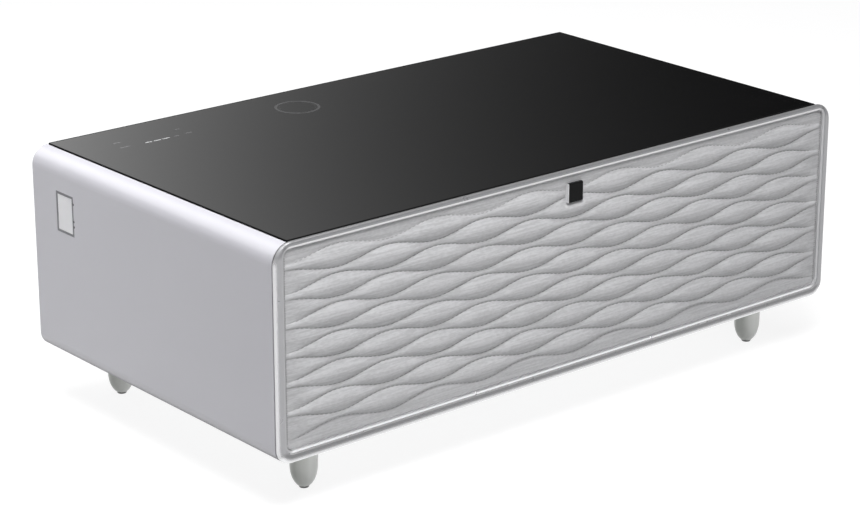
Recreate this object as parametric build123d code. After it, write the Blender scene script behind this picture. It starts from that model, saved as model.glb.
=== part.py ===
from build123d import *
import math
import os

# Refrigerator coffee table: a low cabinet with a black glass top, one wide
# refrigerated drawer behind a quilted front, and the machine room across the back.
# Millimetres. X runs along the length, Y from the drawer front to the back, Z up.
# The origin is on the floor, under the middle of the table.

# Whole table
body_length = 1300.0
body_depth = 720.0
body_height = 381.0
foot_height = 93.0

# Painted steel shell
sheet = 1.5
corner_radius_top = 34.0
corner_radius_bottom = 28.0
bottom_flange = 60.0
skin_gap = 0.3
overrun = 5.0

# Glass top, let into the shell, and the deck that carries it
glass_thickness = 6.0
glass_proud = 2.5
glass_side_inset = 32.0
glass_rear_inset = 4.0
glass_gap = 0.5
glass_corner_radius = 3.0
glass_chamfer = 0.8
glass_ledge = 25.0
deck_thickness = 6.0

# Drawer front: moulded frame with a bright bead round a quilted panel
frame_depth = 7.5
frame_side_band = 13.5
frame_top_band = 6.5
frame_bottom_band = 18.0
frame_edge_radius = 5.5
frame_opening_radius = 18.0
bead_width = 4.5
bead_setback = 1.0
bead_chamfer = 1.2
door_plate_thickness = 1.5
door_plate_inset = 3.0
front_seam = 1.0
soft_gap = 0.3

# Quilted panel: rows of lens-shaped rolls, each row half a wave out of step
quilt_setback = 6.0
quilt_rows = 12
quilt_waves = 6
quilt_wave = 208.6
quilt_pitch = 25.25
quilt_first_drop = 43.9
quilt_swing = 7.6
quilt_groove = 1.2
quilt_root_share = 0.03
quilt_arch_shares = ((-0.5, 0.94), (0.5, 0.94))
quilt_relief_share = 0.15
quilt_fade_share = 0.15
quilt_sections = 6

# Square badge plate, left bare
badge_size = 35.0
badge_drop = 43.4
badge_chamfer = 1.0

# Cold space
mouth_step = 10.0
side_insulation = 46.0
top_insulation = 40.0
bottom_insulation = 42.0
back_insulation = 35.0
liner_wall = 2.5
liner_radius = 18.0

# Inner door and its gasket
inner_door_gap = 4.0
inner_door_depth = 33.0
inner_door_chamfer = 6.0
gasket_base_inner = 4.0
gasket_base_width = 18.0
gasket_base_thickness = 2.0
gasket_neck_inset = 5.0
gasket_head_inset = 2.0
gasket_head_thickness = 3.5

# Drawer tub and dividers
drawer_travel = 420.0
tub_height = 240.0
tub_wall = 3.0
tub_floor_gap = 8.0
tub_back_gap = 14.0
tub_corner_radius = 14.0
tub_foot_chamfer = 4.0
tub_rim_width = 5.0
tub_rim_thickness = 3.0
tub_rib_width = 6.0
tub_rib_height = 2.0
tub_rib_margin = 24.0
tub_ribs_per_bay = 3
tub_bays = 3
divider_thickness = 3.0
divider_drop = 14.0
divider_gap = 0.3
divider_guide = 4.0
divider_slot_width = 150.0
divider_slot_height = 14.0
divider_slots = 3

# Telescopic slides
slide_length = 450.0
slide_height = 45.0
slide_depth = 12.7
slide_sheet = 1.2
slide_lip = 3.0
slide_outer_reach = 9.6
slide_race = 4.4
slide_gap = 0.3
slide_middle_start = 2.6
slide_middle_reach = 12.0
slide_inner_start = 5.0
slide_start_gap = 6.0
slide_rise = 62.0
cage_width = 5.0
cage_slot = 12.0
cage_slots = 5

# Machine room
machine_room_depth = 138.0
rear_recess = 3.0
rear_sheet = 1.2
bulkhead_sheet = 1.0
rear_flange = 15.0
louvre_width = 95.0
louvre_height = 5.0
louvre_pitch = 20.0
louvre_rows = 8
louvre_proud = 2.4
louvre_base = 46.0
louvre_places_share = (0.15, 0.34, 0.62)

# Compressor on its grommets
compressor_inset = 250.0
compressor_radius = 58.0
compressor_body = 165.0
compressor_lift = 12.0
compressor_plate = 3.0
compressor_plate_length = 150.0
compressor_plate_width = 112.0
compressor_seam = 3.0
compressor_shoulder = 20.0
compressor_crown_share = 0.45
compressor_box_size = 42.0
compressor_box_depth = 14.0
grommet_radius = 9.0
grommet_inset = 14.0

# Condenser, fan and tubes
condenser_offset = 235.0
condenser_length = 104.0
header_radius = 7.0
header_height = 116.0
tray_sheet = 1.5
tray_length = 58.0
flat_tube = 2.0
flat_tube_depth = 14.0
flat_tube_rows = 6
fin_sheet = 0.6
fin_folds = 8
fin_crest_share = 0.3
fan_size = 120.0
fan_depth = 25.0
fan_bore = 57.0
fan_gap = 4.0
fan_hub_radius = 20.0
fan_hub_depth = 15.0
fan_motor_depth = 4.0
fan_strut = 5.0
fan_blades = 5
fan_blade_tip = 55.0
fan_blade_chord = 22.0
fan_blade_sheet = 1.6
fan_blade_pitch = 34.0
fan_shaft_radius = 1.6
fan_shaft_clearance = 0.05
fan_running_gap = 0.5
discharge_radius = 3.0
liquid_radius = 2.5
capillary_radius = 1.2
suction_radius = 4.0
tube_bend = 12.0
tube_sides = 6
tube_gap = 0.3
dryer_radius = 9.0
dryer_length = 90.0
dryer_neck = 12.0

# Evaporator plate on the back of the liner
evaporator_sheet = 1.5
evaporator_end_inset = 180.0
evaporator_low = 28.0
evaporator_high = 20.0
evaporator_channel = 6.0
evaporator_channels = 6

# Electrics
inlet_inset = 60.0
inlet_rise = 43.0
inlet_flange_width = 31.0
inlet_flange_height = 24.0
inlet_flange = 2.0
inlet_body_width = 27.0
inlet_body_height = 19.5
inlet_body_depth = 25.0
inlet_cavity_width = 23.0
inlet_cavity_height = 15.0
inlet_cavity_depth = 16.0
inlet_pin_width = 4.0
inlet_pin_thickness = 2.0
inlet_pin_pitch = 7.0
inlet_pin_offset = 2.0
supply_inset = 210.0
supply_length = 140.0
supply_depth = 90.0
supply_height = 46.0
supply_sheet_step = 8.0
board_offset = 180.0
board_length = 140.0
board_height = 96.0
board_sheet = 1.6
board_standoff = 8.0
board_standoff_radius = 3.0
board_rise = 80.0
relay_size = 18.0
capacitor_radius = 9.0
capacitor_height = 22.0
transformer_size = 34.0
touch_inset = 191.0
touch_rear_inset = 98.0
touch_length = 168.0
touch_width = 52.0
coil_x = -138.0
coil_rear_inset = 106.0
coil_radius = 26.0
coil_eye_radius = 9.0
coil_thickness = 1.6
coil_plate = 60.0
coil_plate_thickness = 1.2
lamp_length = 700.0
lamp_width = 10.0
lamp_thickness = 3.0
lamp_setback = 8.0
sensor_inset = 100.0
sensor_width = 12.0
sensor_height = 30.0
sensor_depth = 6.0

# Socket module on the left end
socket_rear_inset = 102.0
socket_drop = 65.0
socket_width = 54.0
socket_height = 74.0
socket_border = 4.0
socket_depth = 10.0
socket_flange = 3.0
socket_flange_thickness = 1.5
flap_gap = 0.35
flap_thickness = 2.5
flap_recess = 0.4
flap_pin_radius = 0.6
flap_pin_clearance = 0.05
flap_pin_seat = 3.0
flap_back_gap = 1.0
insert_depth = 24.0
receptacle_slot = 2.2
receptacle_slot_height = 8.0
receptacle_pitch = 12.7
receptacle_depth = 14.0
receptacle_rise = 12.0
usb_width = 12.4
usb_height = 4.8
usb_tongue = 1.8
usb_depth = 12.0
usb_pitch = 19.0

# Feet
foot_x_inset = 114.0
foot_y_inset = 85.0
foot_top_radius = 25.0
foot_waist_radius = 24.4
foot_nose = 36.0
foot_nose_share = (0.18, 0.5)
foot_nose_bluntness_share = 2.3
foot_plate_size = 76.0
foot_plate_thickness = 2.5
foot_stud_radius = 5.0
foot_stud_length = 14.0
foot_stud_clearance = 0.1
pad_thickness = 2.5
pad_radius = 8.0

# Heights
z_foot_top = foot_height
z_pan_bottom = foot_height + foot_plate_thickness
z_body_bottom = z_pan_bottom - sheet
z_pan_top = z_pan_bottom + sheet
z_glass_top = z_body_bottom + body_height
z_glass_bottom = z_glass_top - glass_thickness
z_shell_top = z_glass_top - glass_proud
z_deck_bottom = z_glass_bottom - deck_thickness
z_middle = (z_body_bottom + z_glass_top) / 2

# Places along the depth, from the drawer's face to the back
y_face = -body_depth / 2
y_back = body_depth / 2
y_frame_back = y_face + frame_depth
y_plate_back = y_frame_back + door_plate_thickness
y_cabinet_front = y_plate_back + front_seam
y_flange = y_cabinet_front + mouth_step
y_rear_panel_out = y_back - rear_recess
y_rear_panel_in = y_rear_panel_out - rear_sheet
y_bulkhead_back = y_rear_panel_in - machine_room_depth
y_bulkhead = y_bulkhead_back - bulkhead_sheet
y_liner_back_out = y_bulkhead - back_insulation
y_liner_back = y_liner_back_out - liner_wall
y_machine_middle = (y_bulkhead_back + y_rear_panel_in) / 2

# The cold space inside the liner
half_length = body_length / 2
glass_half = half_length - glass_side_inset
glass_edge = glass_half + glass_gap
liner_half = half_length - sheet - side_insulation - liner_wall
z_liner_low = z_pan_top + bottom_insulation + liner_wall
z_liner_high = z_deck_bottom - top_insulation - liner_wall

# Places that keep their distance from the ends and the back
compressor_x = half_length - compressor_inset
condenser_x = compressor_x - condenser_offset
inlet_x = inlet_inset - half_length
supply_x = supply_inset - half_length
board_x = supply_x + board_offset
touch_x = touch_inset - half_length
touch_y = y_back - touch_rear_inset
coil_y = y_back - coil_rear_inset
socket_y = y_back - socket_rear_inset
sensor_x = liner_half - sensor_inset
evaporator_half_length = liner_half - evaporator_end_inset

# The drawer
y_inner_door_back = y_plate_back + inner_door_depth
tub_half = liner_half - slide_depth
y_tub_front = y_inner_door_back
y_tub_back = y_liner_back - tub_back_gap
z_tub_low = z_liner_low + tub_floor_gap
z_tub_high = z_tub_low + tub_height
z_tub_floor = z_tub_low + tub_wall
bay_pitch = 2 * tub_half / tub_bays
y_slide_front = y_inner_door_back + slide_start_gap
y_slide_back = y_slide_front + slide_length
z_slide = z_tub_low + slide_rise
cage_length = (slide_length - drawer_travel / 2) / 2


def slab(x_low, x_high, y_low, y_high, z_low, z_high):
    """A box between two values on each axis."""
    centre = Pos((x_low + x_high) / 2, (y_low + y_high) / 2, (z_low + z_high) / 2)
    return centre * Box(x_high - x_low, y_high - y_low, z_high - z_low)


def flat(a_low, a_high, b_low, b_high):
    """A rectangle between two values on each axis of its plane."""
    centre = Pos((a_low + a_high) / 2, (b_low + b_high) / 2)
    return centre * Rectangle(a_high - a_low, b_high - b_low)


def rounded(half_width, low, high, radius_low, radius_high):
    """An outline in X and Z, with one radius for its lower corners and one for its upper."""
    shape = flat(-half_width, half_width, low, high)
    shape = fillet(shape.vertices().group_by(Axis.Y)[-1], radius_high)
    return fillet(shape.vertices().group_by(Axis.Y)[0], radius_low)


def along_x(sketch, low, high):
    """A Y and Z outline drawn out along X."""
    return extrude(Plane.YZ.offset(low) * sketch, amount=high - low, dir=(1, 0, 0))


def along_y(sketch, low, high):
    """An X and Z outline drawn out along Y."""
    return extrude(Plane.XZ.offset(-high) * sketch, amount=high - low, dir=(0, -1, 0))


def along_z(sketch, low, high):
    """An X and Y outline drawn out along Z."""
    return extrude(Pos(0, 0, low) * sketch, amount=high - low, dir=(0, 0, 1))


def rod(start, end, radius):
    """A round bar from one point to another."""
    line = Vector(*end) - Vector(*start)
    plane = Plane(origin=start, z_dir=line)
    return extrude(plane * Circle(radius), amount=line.length, dir=line.normalized())


def both_sides(shape):
    """A piece on the right and its mirror image on the left."""
    return shape + mirror(shape, about=Plane.YZ)


def shell_outline(inset):
    """The cabinet's cross-section, drawn in by a distance."""
    return rounded(
        half_length - inset,
        z_body_bottom + inset,
        z_shell_top - inset,
        corner_radius_bottom - inset,
        corner_radius_top - inset,
    )


def cavity_outline():
    """What is left inside the shell between the base pan and the deck."""
    whole = flat(-half_length, half_length, z_pan_top, z_deck_bottom)
    return shell_outline(sheet + skin_gap) & whole


def front_outline(inset):
    """The drawer front's outline, drawn in by a distance."""
    return rounded(
        half_length - inset,
        z_body_bottom + inset,
        z_glass_top - inset,
        corner_radius_bottom - inset,
        corner_radius_top - inset,
    )


def opening_outline(inset):
    """The opening of the drawer front's frame, drawn in by a distance."""
    return rounded(
        half_length - frame_side_band - inset,
        z_body_bottom + frame_bottom_band + inset,
        z_glass_top - frame_top_band - inset,
        frame_opening_radius - inset,
        frame_opening_radius - inset,
    )


def liner_outline(grow):
    """The cold space's cross-section, grown by a distance."""
    return rounded(
        liner_half + grow,
        z_liner_low - grow,
        z_liner_high + grow,
        liner_radius + grow,
        liner_radius + grow,
    )


def side_panel():
    """The right side panel: one sheet bent round both long edges, with a ledge for the glass."""
    wall = shell_outline(0) - shell_outline(sheet)
    upper = flat(glass_edge, half_length, z_middle, z_shell_top)
    lower = flat(half_length - bottom_flange, half_length, z_body_bottom, z_middle)
    web = flat(glass_edge, glass_edge + sheet, z_glass_bottom - sheet, z_shell_top)
    ledge = flat(glass_edge - glass_ledge, glass_edge + sheet, z_glass_bottom - sheet, z_glass_bottom)
    section = (wall & (upper + lower)) + (web & shell_outline(0)) + ledge
    return along_y(section, y_cabinet_front, y_back)


def side_panel_left():
    """The left panel has the cut-out for the socket module."""
    panel = mirror(side_panel(), about=Plane.YZ)
    z = z_glass_top - socket_drop - (socket_height / 2)
    hole = flat(
        socket_y - socket_width / 2 - flap_gap,
        socket_y + socket_width / 2 + flap_gap,
        z - socket_height / 2 - flap_gap,
        z + socket_height / 2 + flap_gap,
    )
    return panel - along_x(hole, -half_length - overrun, -half_length + sheet + overrun)


def glass_top():
    plan = flat(-glass_half, glass_half, y_cabinet_front, y_back - glass_rear_inset)
    plan = fillet(plan.vertices(), glass_corner_radius)
    glass = along_z(plan, z_glass_bottom, z_glass_top)
    return chamfer(glass.faces().sort_by(Axis.Z)[-1].edges(), glass_chamfer)


def top_deck():
    """The board under the glass, with cut-outs for the touch board and the charging coil."""
    half = glass_edge - glass_ledge - glass_gap
    deck = slab(-half, half, y_cabinet_front, y_back - rear_sheet, z_deck_bottom, z_glass_bottom)
    y_up = y_back - glass_rear_inset + glass_gap
    deck += slab(-half, half, y_up, y_back - rear_sheet, z_glass_bottom, z_shell_top)
    deck += slab(
        -half, half, y_rear_panel_in - sheet, y_rear_panel_in, z_deck_bottom - rear_flange, z_deck_bottom
    )
    deck -= slab(
        touch_x - touch_length / 2 - glass_gap,
        touch_x + touch_length / 2 + glass_gap,
        touch_y - touch_width / 2 - glass_gap,
        touch_y + touch_width / 2 + glass_gap,
        z_deck_bottom - overrun,
        z_glass_bottom + overrun,
    )
    reach = coil_plate / 2 + glass_gap
    deck -= slab(
        coil_x - reach,
        coil_x + reach,
        coil_y - reach,
        coil_y + reach,
        z_deck_bottom - overrun,
        z_glass_bottom + overrun,
    )
    return deck


def foot_places():
    x = half_length - foot_x_inset
    y = body_depth / 2 - foot_y_inset
    return [(-x, -y), (x, -y), (-x, y), (x, y)]


def base_pan():
    """The floor of the cabinet, lying on the side panels' lower flanges, with vents under the compressor."""
    half = half_length - corner_radius_bottom - skin_gap
    pan = slab(-half, half, y_cabinet_front, y_rear_panel_in, z_pan_bottom, z_pan_top)
    pan += slab(-half, half, y_rear_panel_in - sheet, y_rear_panel_in, z_pan_top, z_pan_top + rear_flange)
    for x, y in foot_places():
        pan -= Pos(x, y, z_pan_bottom) * Cylinder(
            foot_stud_radius + foot_stud_clearance, overrun
        )
    for row in range(louvre_rows // 2):
        y = y_bulkhead_back + rear_flange + row * louvre_pitch
        for x in (condenser_x, compressor_x):
            pan -= slab(
                x + tray_length,
                x + tray_length + louvre_width,
                y,
                y + louvre_height,
                z_pan_bottom - overrun,
                z_pan_top + overrun,
            )
    return pan


def liner():
    """The plastic food liner with its front flange."""
    body = along_y(cavity_outline(), y_flange, y_flange + liner_wall)
    body += along_y(liner_outline(liner_wall), y_flange, y_liner_back_out)
    return body - along_y(liner_outline(0), y_flange - overrun, y_liner_back)


def capillary_point():
    """Where the capillary meets the evaporator plate."""
    x = condenser_x - header_radius - tube_bend - dryer_length - 3 * tube_bend
    return x, z_pan_top + tray_sheet + header_height + 2 * tube_bend


def suction_point():
    """Where the suction tube leaves the evaporator plate."""
    return compressor_x - compressor_radius - 3 * tube_bend, z_liner_high - 2 * evaporator_high


def insulation_foam():
    """The foam between the liner and the shell."""
    foam = along_y(cavity_outline(), y_flange + liner_wall, y_bulkhead)
    foam -= along_y(liner_outline(liner_wall), y_flange, y_liner_back_out)
    depth = evaporator_sheet + evaporator_channel / 2 + skin_gap
    foam -= slab(
        -evaporator_half_length - skin_gap,
        evaporator_half_length + skin_gap,
        y_liner_back_out - overrun,
        y_liner_back_out + depth,
        z_liner_low + evaporator_low - skin_gap,
        z_liner_high - evaporator_high + skin_gap,
    )
    for x, y in foot_places():
        if y < 0:
            pocket = 2 * foot_stud_radius
            foam -= slab(
                x - pocket,
                x + pocket,
                y - pocket,
                y + pocket,
                z_pan_top - overrun,
                z_foot_top + foot_stud_length + soft_gap,
            )
    return foam - tube_bores()


def tube_bores():
    """Straight passages for the capillary and the suction tube."""
    passages = Part()
    for (x, z), radius in ((capillary_point(), capillary_radius), (suction_point(), suction_radius)):
        passages += rod((x, y_liner_back_out, z), (x, y_bulkhead_back + overrun, z), radius + tube_gap)
    return passages


def bulkhead():
    return along_y(cavity_outline(), y_bulkhead, y_bulkhead_back) - tube_bores()


def evaporator_plate():
    """Roll-bonded plate behind the liner, with its raised channel."""
    low = z_liner_low + evaporator_low
    high = z_liner_high - evaporator_high
    y = y_liner_back_out + evaporator_sheet
    plate = slab(-evaporator_half_length, evaporator_half_length, y_liner_back_out, y, low, high)
    pitch = (high - low) / (evaporator_channels + 1)
    reach = evaporator_half_length - 3 * evaporator_channel
    rise = evaporator_channel / 2
    for row in range(evaporator_channels):
        z = low + (row + 1) * pitch
        plate += slab(-reach, reach, y, y + rise, z - rise, z + rise)
        if row + 1 < evaporator_channels:
            end = reach if row % 2 else -reach
            side = -1 if row % 2 else 1
            x_near, x_far = sorted((end, end + side * evaporator_channel))
            plate += slab(x_near, x_far, y, y + rise, z, z + pitch)
    return plate


def louvre_places():
    low = z_pan_top + louvre_base
    rows = range(louvre_rows)
    return [(share * liner_half, low + row * louvre_pitch) for share in louvre_places_share for row in rows]


def rear_panel():
    """The steel back with pressed louvres over the condenser and the compressor."""
    panel = along_y(cavity_outline(), y_rear_panel_in, y_rear_panel_out)
    for x, z in louvre_places():
        x_low, x_high = x - louvre_width / 2, x + louvre_width / 2
        panel -= slab(x_low, x_high, y_rear_panel_in - overrun, y_back, z, z + louvre_height)
        hood = Plane.YZ.offset(x_low) * make_face(
            Polyline(
                (y_rear_panel_out, z + louvre_height + rear_sheet),
                (y_rear_panel_out + louvre_proud, z + rear_sheet),
                (y_rear_panel_out + louvre_proud, z),
                (y_rear_panel_out + louvre_proud - rear_sheet, z),
                (y_rear_panel_out, z + louvre_height),
                close=True,
            )
        )
        panel += extrude(hood, amount=louvre_width, dir=(1, 0, 0))
    z = z_pan_top + inlet_rise
    panel -= slab(
        inlet_x - inlet_body_width / 2 - skin_gap,
        inlet_x + inlet_body_width / 2 + skin_gap,
        y_rear_panel_in - overrun,
        y_back,
        z - inlet_body_height / 2 - skin_gap,
        z + inlet_body_height / 2 + skin_gap,
    )
    return panel


def slide_section(u_low, u_high, v_low, v_high):
    """A rectangle of a slide's section: u from the liner's wall inwards, v from its middle up."""
    return flat(liner_half - u_high, liner_half - u_low, z_slide + v_low, z_slide + v_high)


def channel(u_web, u_open, half_height):
    """A C-shaped rail section with its web at one side and its flanges reaching to the other."""
    direction = 1 if u_open > u_web else -1
    web = sorted((u_web, u_web + direction * slide_sheet))
    reach = sorted((u_web, u_open))
    section = slide_section(*web, -half_height, half_height)
    for sign in (1, -1):
        v = sorted((sign * half_height, sign * (half_height - slide_sheet)))
        section += slide_section(*reach, *v)
    return section


middle_half = slide_height / 2 - slide_sheet - slide_race
inner_half = middle_half - slide_sheet - slide_race


def slide_outer_rails():
    """The rails on the liner's walls, with lips that hold the ball retainers in."""
    half = slide_height / 2
    section = channel(0, slide_outer_reach, half)
    for sign in (1, -1):
        v = sorted((sign * half, sign * (half - slide_lip)))
        section += slide_section(slide_outer_reach - slide_sheet, slide_outer_reach, *v)
    return both_sides(along_y(section, y_slide_front, y_slide_back))


def slide_middle_rails():
    section = channel(slide_middle_start, slide_middle_reach, middle_half)
    return both_sides(along_y(section, y_slide_front, y_slide_back))


def slide_inner_rails():
    section = channel(slide_depth, slide_inner_start, inner_half)
    return both_sides(along_y(section, y_slide_front, y_slide_back))


def ball_cages(u_start, outer_half):
    """The retainers that roll between two rails, above and below, with a window for each ball."""
    start = y_slide_front + (slide_length - cage_length) / 2
    low = outer_half - slide_race + slide_gap
    high = outer_half - slide_gap
    strip = slide_section(u_start, u_start + cage_width, low, high)
    upper = along_y(strip, start, start + cage_length)
    pitch = cage_length / cage_slots
    for index in range(cage_slots):
        y = start + index * pitch + (pitch - cage_slot) / 2
        window = slide_section(u_start - overrun, u_start + cage_width / 2, low - overrun, high + overrun)
        upper -= along_y(window, y, y + cage_slot)
    lower = mirror(upper, about=Plane.XY.offset(z_slide))
    return both_sides(upper + lower)


def slide_cages_outer():
    return ball_cages(slide_middle_start + slide_gap, slide_height / 2 - slide_sheet)


def slide_cages_inner():
    return ball_cages(slide_inner_start + slide_gap, middle_half - slide_sheet)


def front_frame():
    """The moulded frame round the quilted panel, rounded on its outer front edge."""
    body = along_y(front_outline(0), y_face, y_frame_back)
    body = fillet(body.faces().sort_by(Axis.Y)[0].edges(), frame_edge_radius)
    return body - along_y(opening_outline(0), y_face - overrun, y_frame_back + overrun)


def trim_bead():
    """The bright bead inside the frame."""
    y = y_face + bead_setback
    body = along_y(opening_outline(0), y, y_frame_back)
    body -= along_y(opening_outline(bead_width), y - overrun, y_frame_back + overrun)
    inner = body.faces().sort_by(Axis.Y)[0].inner_wires()[0].edges()
    return chamfer(inner, bead_chamfer)


def door_plate():
    return along_y(front_outline(door_plate_inset), y_frame_back, y_plate_back)


def roll_section(x, z, width, y_base):
    """The corners of a padded roll's cross-section: an arch over a chord sunk in the panel."""
    half = width / 2
    root = y_base + quilt_root_share * width
    relief = quilt_relief_share * width
    arch = [(x, y_base - relief * rise, z + half * out) for out, rise in quilt_arch_shares]
    return [(x, root, z - half), *arch, (x, root, z + half)]


def roll(row, y_base):
    """One row of lens-shaped swellings, made of flat facets between sections a sixth of a wave apart."""
    z = z_glass_top - quilt_first_drop - row * quilt_pitch
    phase = 1 if row % 2 else -1
    ends = quilt_waves * quilt_sections // 2
    sections = []
    for step in range(-ends, ends + 1):
        swell = phase * math.cos(2 * math.pi * step / quilt_sections)
        width = quilt_pitch + 2 * quilt_swing * swell - quilt_groove
        if swell > 0 and abs(step) == ends:
            width *= quilt_fade_share
        sections.append(roll_section(step * quilt_wave / quilt_sections, z, width, y_base))
    facets = [sections[0], sections[-1]]
    for near, far in zip(sections, sections[1:]):
        for corner in range(len(near)):
            facets.append([near[corner - 1], near[corner], far[corner], far[corner - 1]])
    return Solid(Shell([Face(Wire.make_polygon(facet)) for facet in facets]))


def quilted_panel():
    """The padded panel: a flat margin, twelve rows of rolls and a square hole for the badge plate."""
    y_base = y_face + quilt_setback
    panel = along_y(opening_outline(bead_width + soft_gap), y_base, y_frame_back)
    panel = panel.fuse(*[roll(row, y_base) for row in range(quilt_rows)])
    reach = badge_size / 2 + soft_gap
    z = z_glass_top - badge_drop
    return panel - slab(-reach, reach, y_face - overrun, y_back, z - reach, z + reach)


def badge_plate():
    reach = badge_size / 2
    z = z_glass_top - badge_drop
    plate = slab(-reach, reach, y_face, y_frame_back, z - reach, z + reach)
    return chamfer(plate.faces().sort_by(Axis.Y)[0].edges(), badge_chamfer)


def inner_door():
    """The insulated inner door, which fills the liner's mouth."""
    body = along_y(liner_outline(-inner_door_gap), y_plate_back, y_inner_door_back)
    return chamfer(body.faces().sort_by(Axis.Y)[-1].edges(), inner_door_chamfer)


def ring(grow_inner, grow_outer, y_low, y_high):
    """A frame with mitred corners round the liner's mouth, between two distances from it."""
    outer, inner = (
        flat(-liner_half - grow, liner_half + grow, z_liner_low - grow, z_liner_high + grow)
        for grow in (grow_outer, grow_inner)
    )
    return along_y(outer - inner, y_low, y_high)


def gasket():
    """The magnetic gasket: a base on the door plate, a thin bellows neck and the magnet's head."""
    inner = gasket_base_inner
    outer = gasket_base_inner + gasket_base_width
    y_head = y_flange - soft_gap - gasket_head_thickness
    body = ring(inner, outer, y_plate_back, y_plate_back + gasket_base_thickness)
    neck = gasket_neck_inset
    body += ring(inner + neck, outer - neck, y_plate_back + gasket_base_thickness, y_head)
    head = gasket_head_inset
    return body + ring(inner + head, outer - head, y_head, y_flange - soft_gap)


def tub_plan(grow, y_front):
    plan = flat(-tub_half - grow, tub_half + grow, y_front, y_tub_back + grow)
    return fillet(plan.vertices(), tub_corner_radius + grow)


def divider_places():
    return [(index - tub_bays / 2) * bay_pitch for index in range(1, tub_bays)]


def drawer_tub():
    """The food tub, with floor ribs, a rim and guides for the dividers."""
    tub = along_z(tub_plan(0, y_tub_front), z_tub_low, z_tub_high)
    tub = chamfer(tub.faces().sort_by(Axis.Z)[0].edges(), tub_foot_chamfer)
    hollow = along_z(tub_plan(-tub_wall, y_tub_front + tub_wall), z_tub_floor, z_tub_high + overrun)
    hollow = chamfer(hollow.faces().sort_by(Axis.Z)[0].edges(), tub_foot_chamfer)
    rim = along_z(tub_plan(tub_rim_width, y_tub_front), z_tub_high - tub_rim_thickness, z_tub_high)
    tub = tub + rim - hollow
    y_front, y_rear = y_tub_front + tub_wall, y_tub_back - tub_wall
    for bay in range(tub_bays):
        centre = (bay + 0.5 - tub_bays / 2) * bay_pitch
        for index in range(tub_ribs_per_bay):
            x = centre + (index - (tub_ribs_per_bay - 1) / 2) * bay_pitch / (tub_ribs_per_bay + 1)
            tub += slab(
                x - tub_rib_width / 2,
                x + tub_rib_width / 2,
                y_front + tub_rib_margin,
                y_rear - tub_rib_margin,
                z_tub_floor,
                z_tub_floor + tub_rib_height,
            )
    near = divider_thickness / 2 + divider_gap
    for x in divider_places():
        for side in (-1, 1):
            x_low, x_high = sorted((x + side * near, x + side * (near + tub_wall)))
            for y_wall, reach in ((y_front, divider_guide), (y_rear, -divider_guide)):
                y_low, y_high = sorted((y_wall, y_wall + reach))
                z_low, z_high = z_tub_floor + 2 * tub_foot_chamfer, z_tub_high - divider_drop
                tub += slab(x_low, x_high, y_low, y_high, z_low, z_high)
    return tub


def tub_dividers():
    """Removable dividers with slots that let the cold air through."""
    y_low = y_tub_front + tub_wall + divider_gap
    y_high = y_tub_back - tub_wall - divider_gap
    z_low = z_tub_floor + divider_gap
    z_high = z_tub_high - divider_drop
    plan = chamfer(flat(y_low, y_high, z_low, z_high).vertices(), tub_foot_chamfer + divider_gap)
    pitch = (z_high - z_low) / (divider_slots + 1)
    for index in range(divider_slots):
        z = z_low + (index + 1) * pitch
        y_mid = (y_low + y_high) / 2
        for side in (-1, 1):
            y = y_mid + side * divider_slot_width * 2 / 3
            plan -= flat(
                y - divider_slot_width / 2,
                y + divider_slot_width / 2,
                z - divider_slot_height / 2,
                z + divider_slot_height / 2,
            )
    dividers = Part()
    for x in divider_places():
        dividers += along_x(plan, x - divider_thickness / 2, x + divider_thickness / 2)
    return dividers


def lamp_strip():
    reach = lamp_length / 2
    y = y_inner_door_back + lamp_setback
    return slab(-reach, reach, y, y + lamp_width, z_liner_high - lamp_thickness, z_liner_high)


def temperature_sensor():
    z = (z_liner_low + z_liner_high) / 2
    x_low, x_high = sensor_x - sensor_width / 2, sensor_x + sensor_width / 2
    y = y_liner_back - sensor_depth
    body = slab(x_low, x_high, y, y_liner_back, z - sensor_height / 2, z + sensor_height / 2)
    return chamfer(body.faces().sort_by(Axis.Y)[0].edges(), sensor_depth / 3)


def foot_height_radius(z):
    """The radius of the foot's blunt nose at a height above the floor."""
    share = (foot_nose - z) / foot_nose
    return foot_waist_radius * math.sqrt(1 - share**foot_nose_bluntness_share)


def feet():
    """Bullet-shaped feet, each with the stud that screws up into the cabinet."""
    heights = [foot_nose * share for share in foot_nose_share]
    heights = [pad_thickness, *heights, foot_nose]
    points = [(foot_height_radius(z), z) for z in heights]
    stud_top = z_foot_top + foot_stud_length
    profile = Polyline(
        *points,
        (foot_top_radius, z_foot_top),
        (foot_stud_radius, z_foot_top),
        (foot_stud_radius, stud_top),
        (0, stud_top),
        (0, pad_thickness),
        close=True,
    )
    foot = revolve(Plane.XZ * make_face(profile), Axis.Z)
    group = Part()
    for x, y in foot_places():
        group += Pos(x, y, 0) * foot
    return group


def foot_pads():
    tip = foot_height_radius(pad_thickness)
    group = Part()
    for x, y in foot_places():
        group += Pos(x, y, pad_thickness / 2) * Cone(pad_radius, tip, pad_thickness)
    return group


def foot_plates():
    """Steel plates that spread each foot's load over the base pan."""
    group = Part()
    reach = foot_plate_size / 2
    for x, y in foot_places():
        plate = slab(x - reach, x + reach, y - reach, y + reach, z_foot_top, z_pan_bottom)
        bore = Cylinder(foot_stud_radius + foot_stud_clearance, foot_plate_thickness + overrun)
        group += plate - Pos(x, y, z_foot_top) * bore
    return group


z_compressor = z_pan_top + compressor_lift + compressor_plate
z_compressor_top = z_compressor + compressor_body


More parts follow.
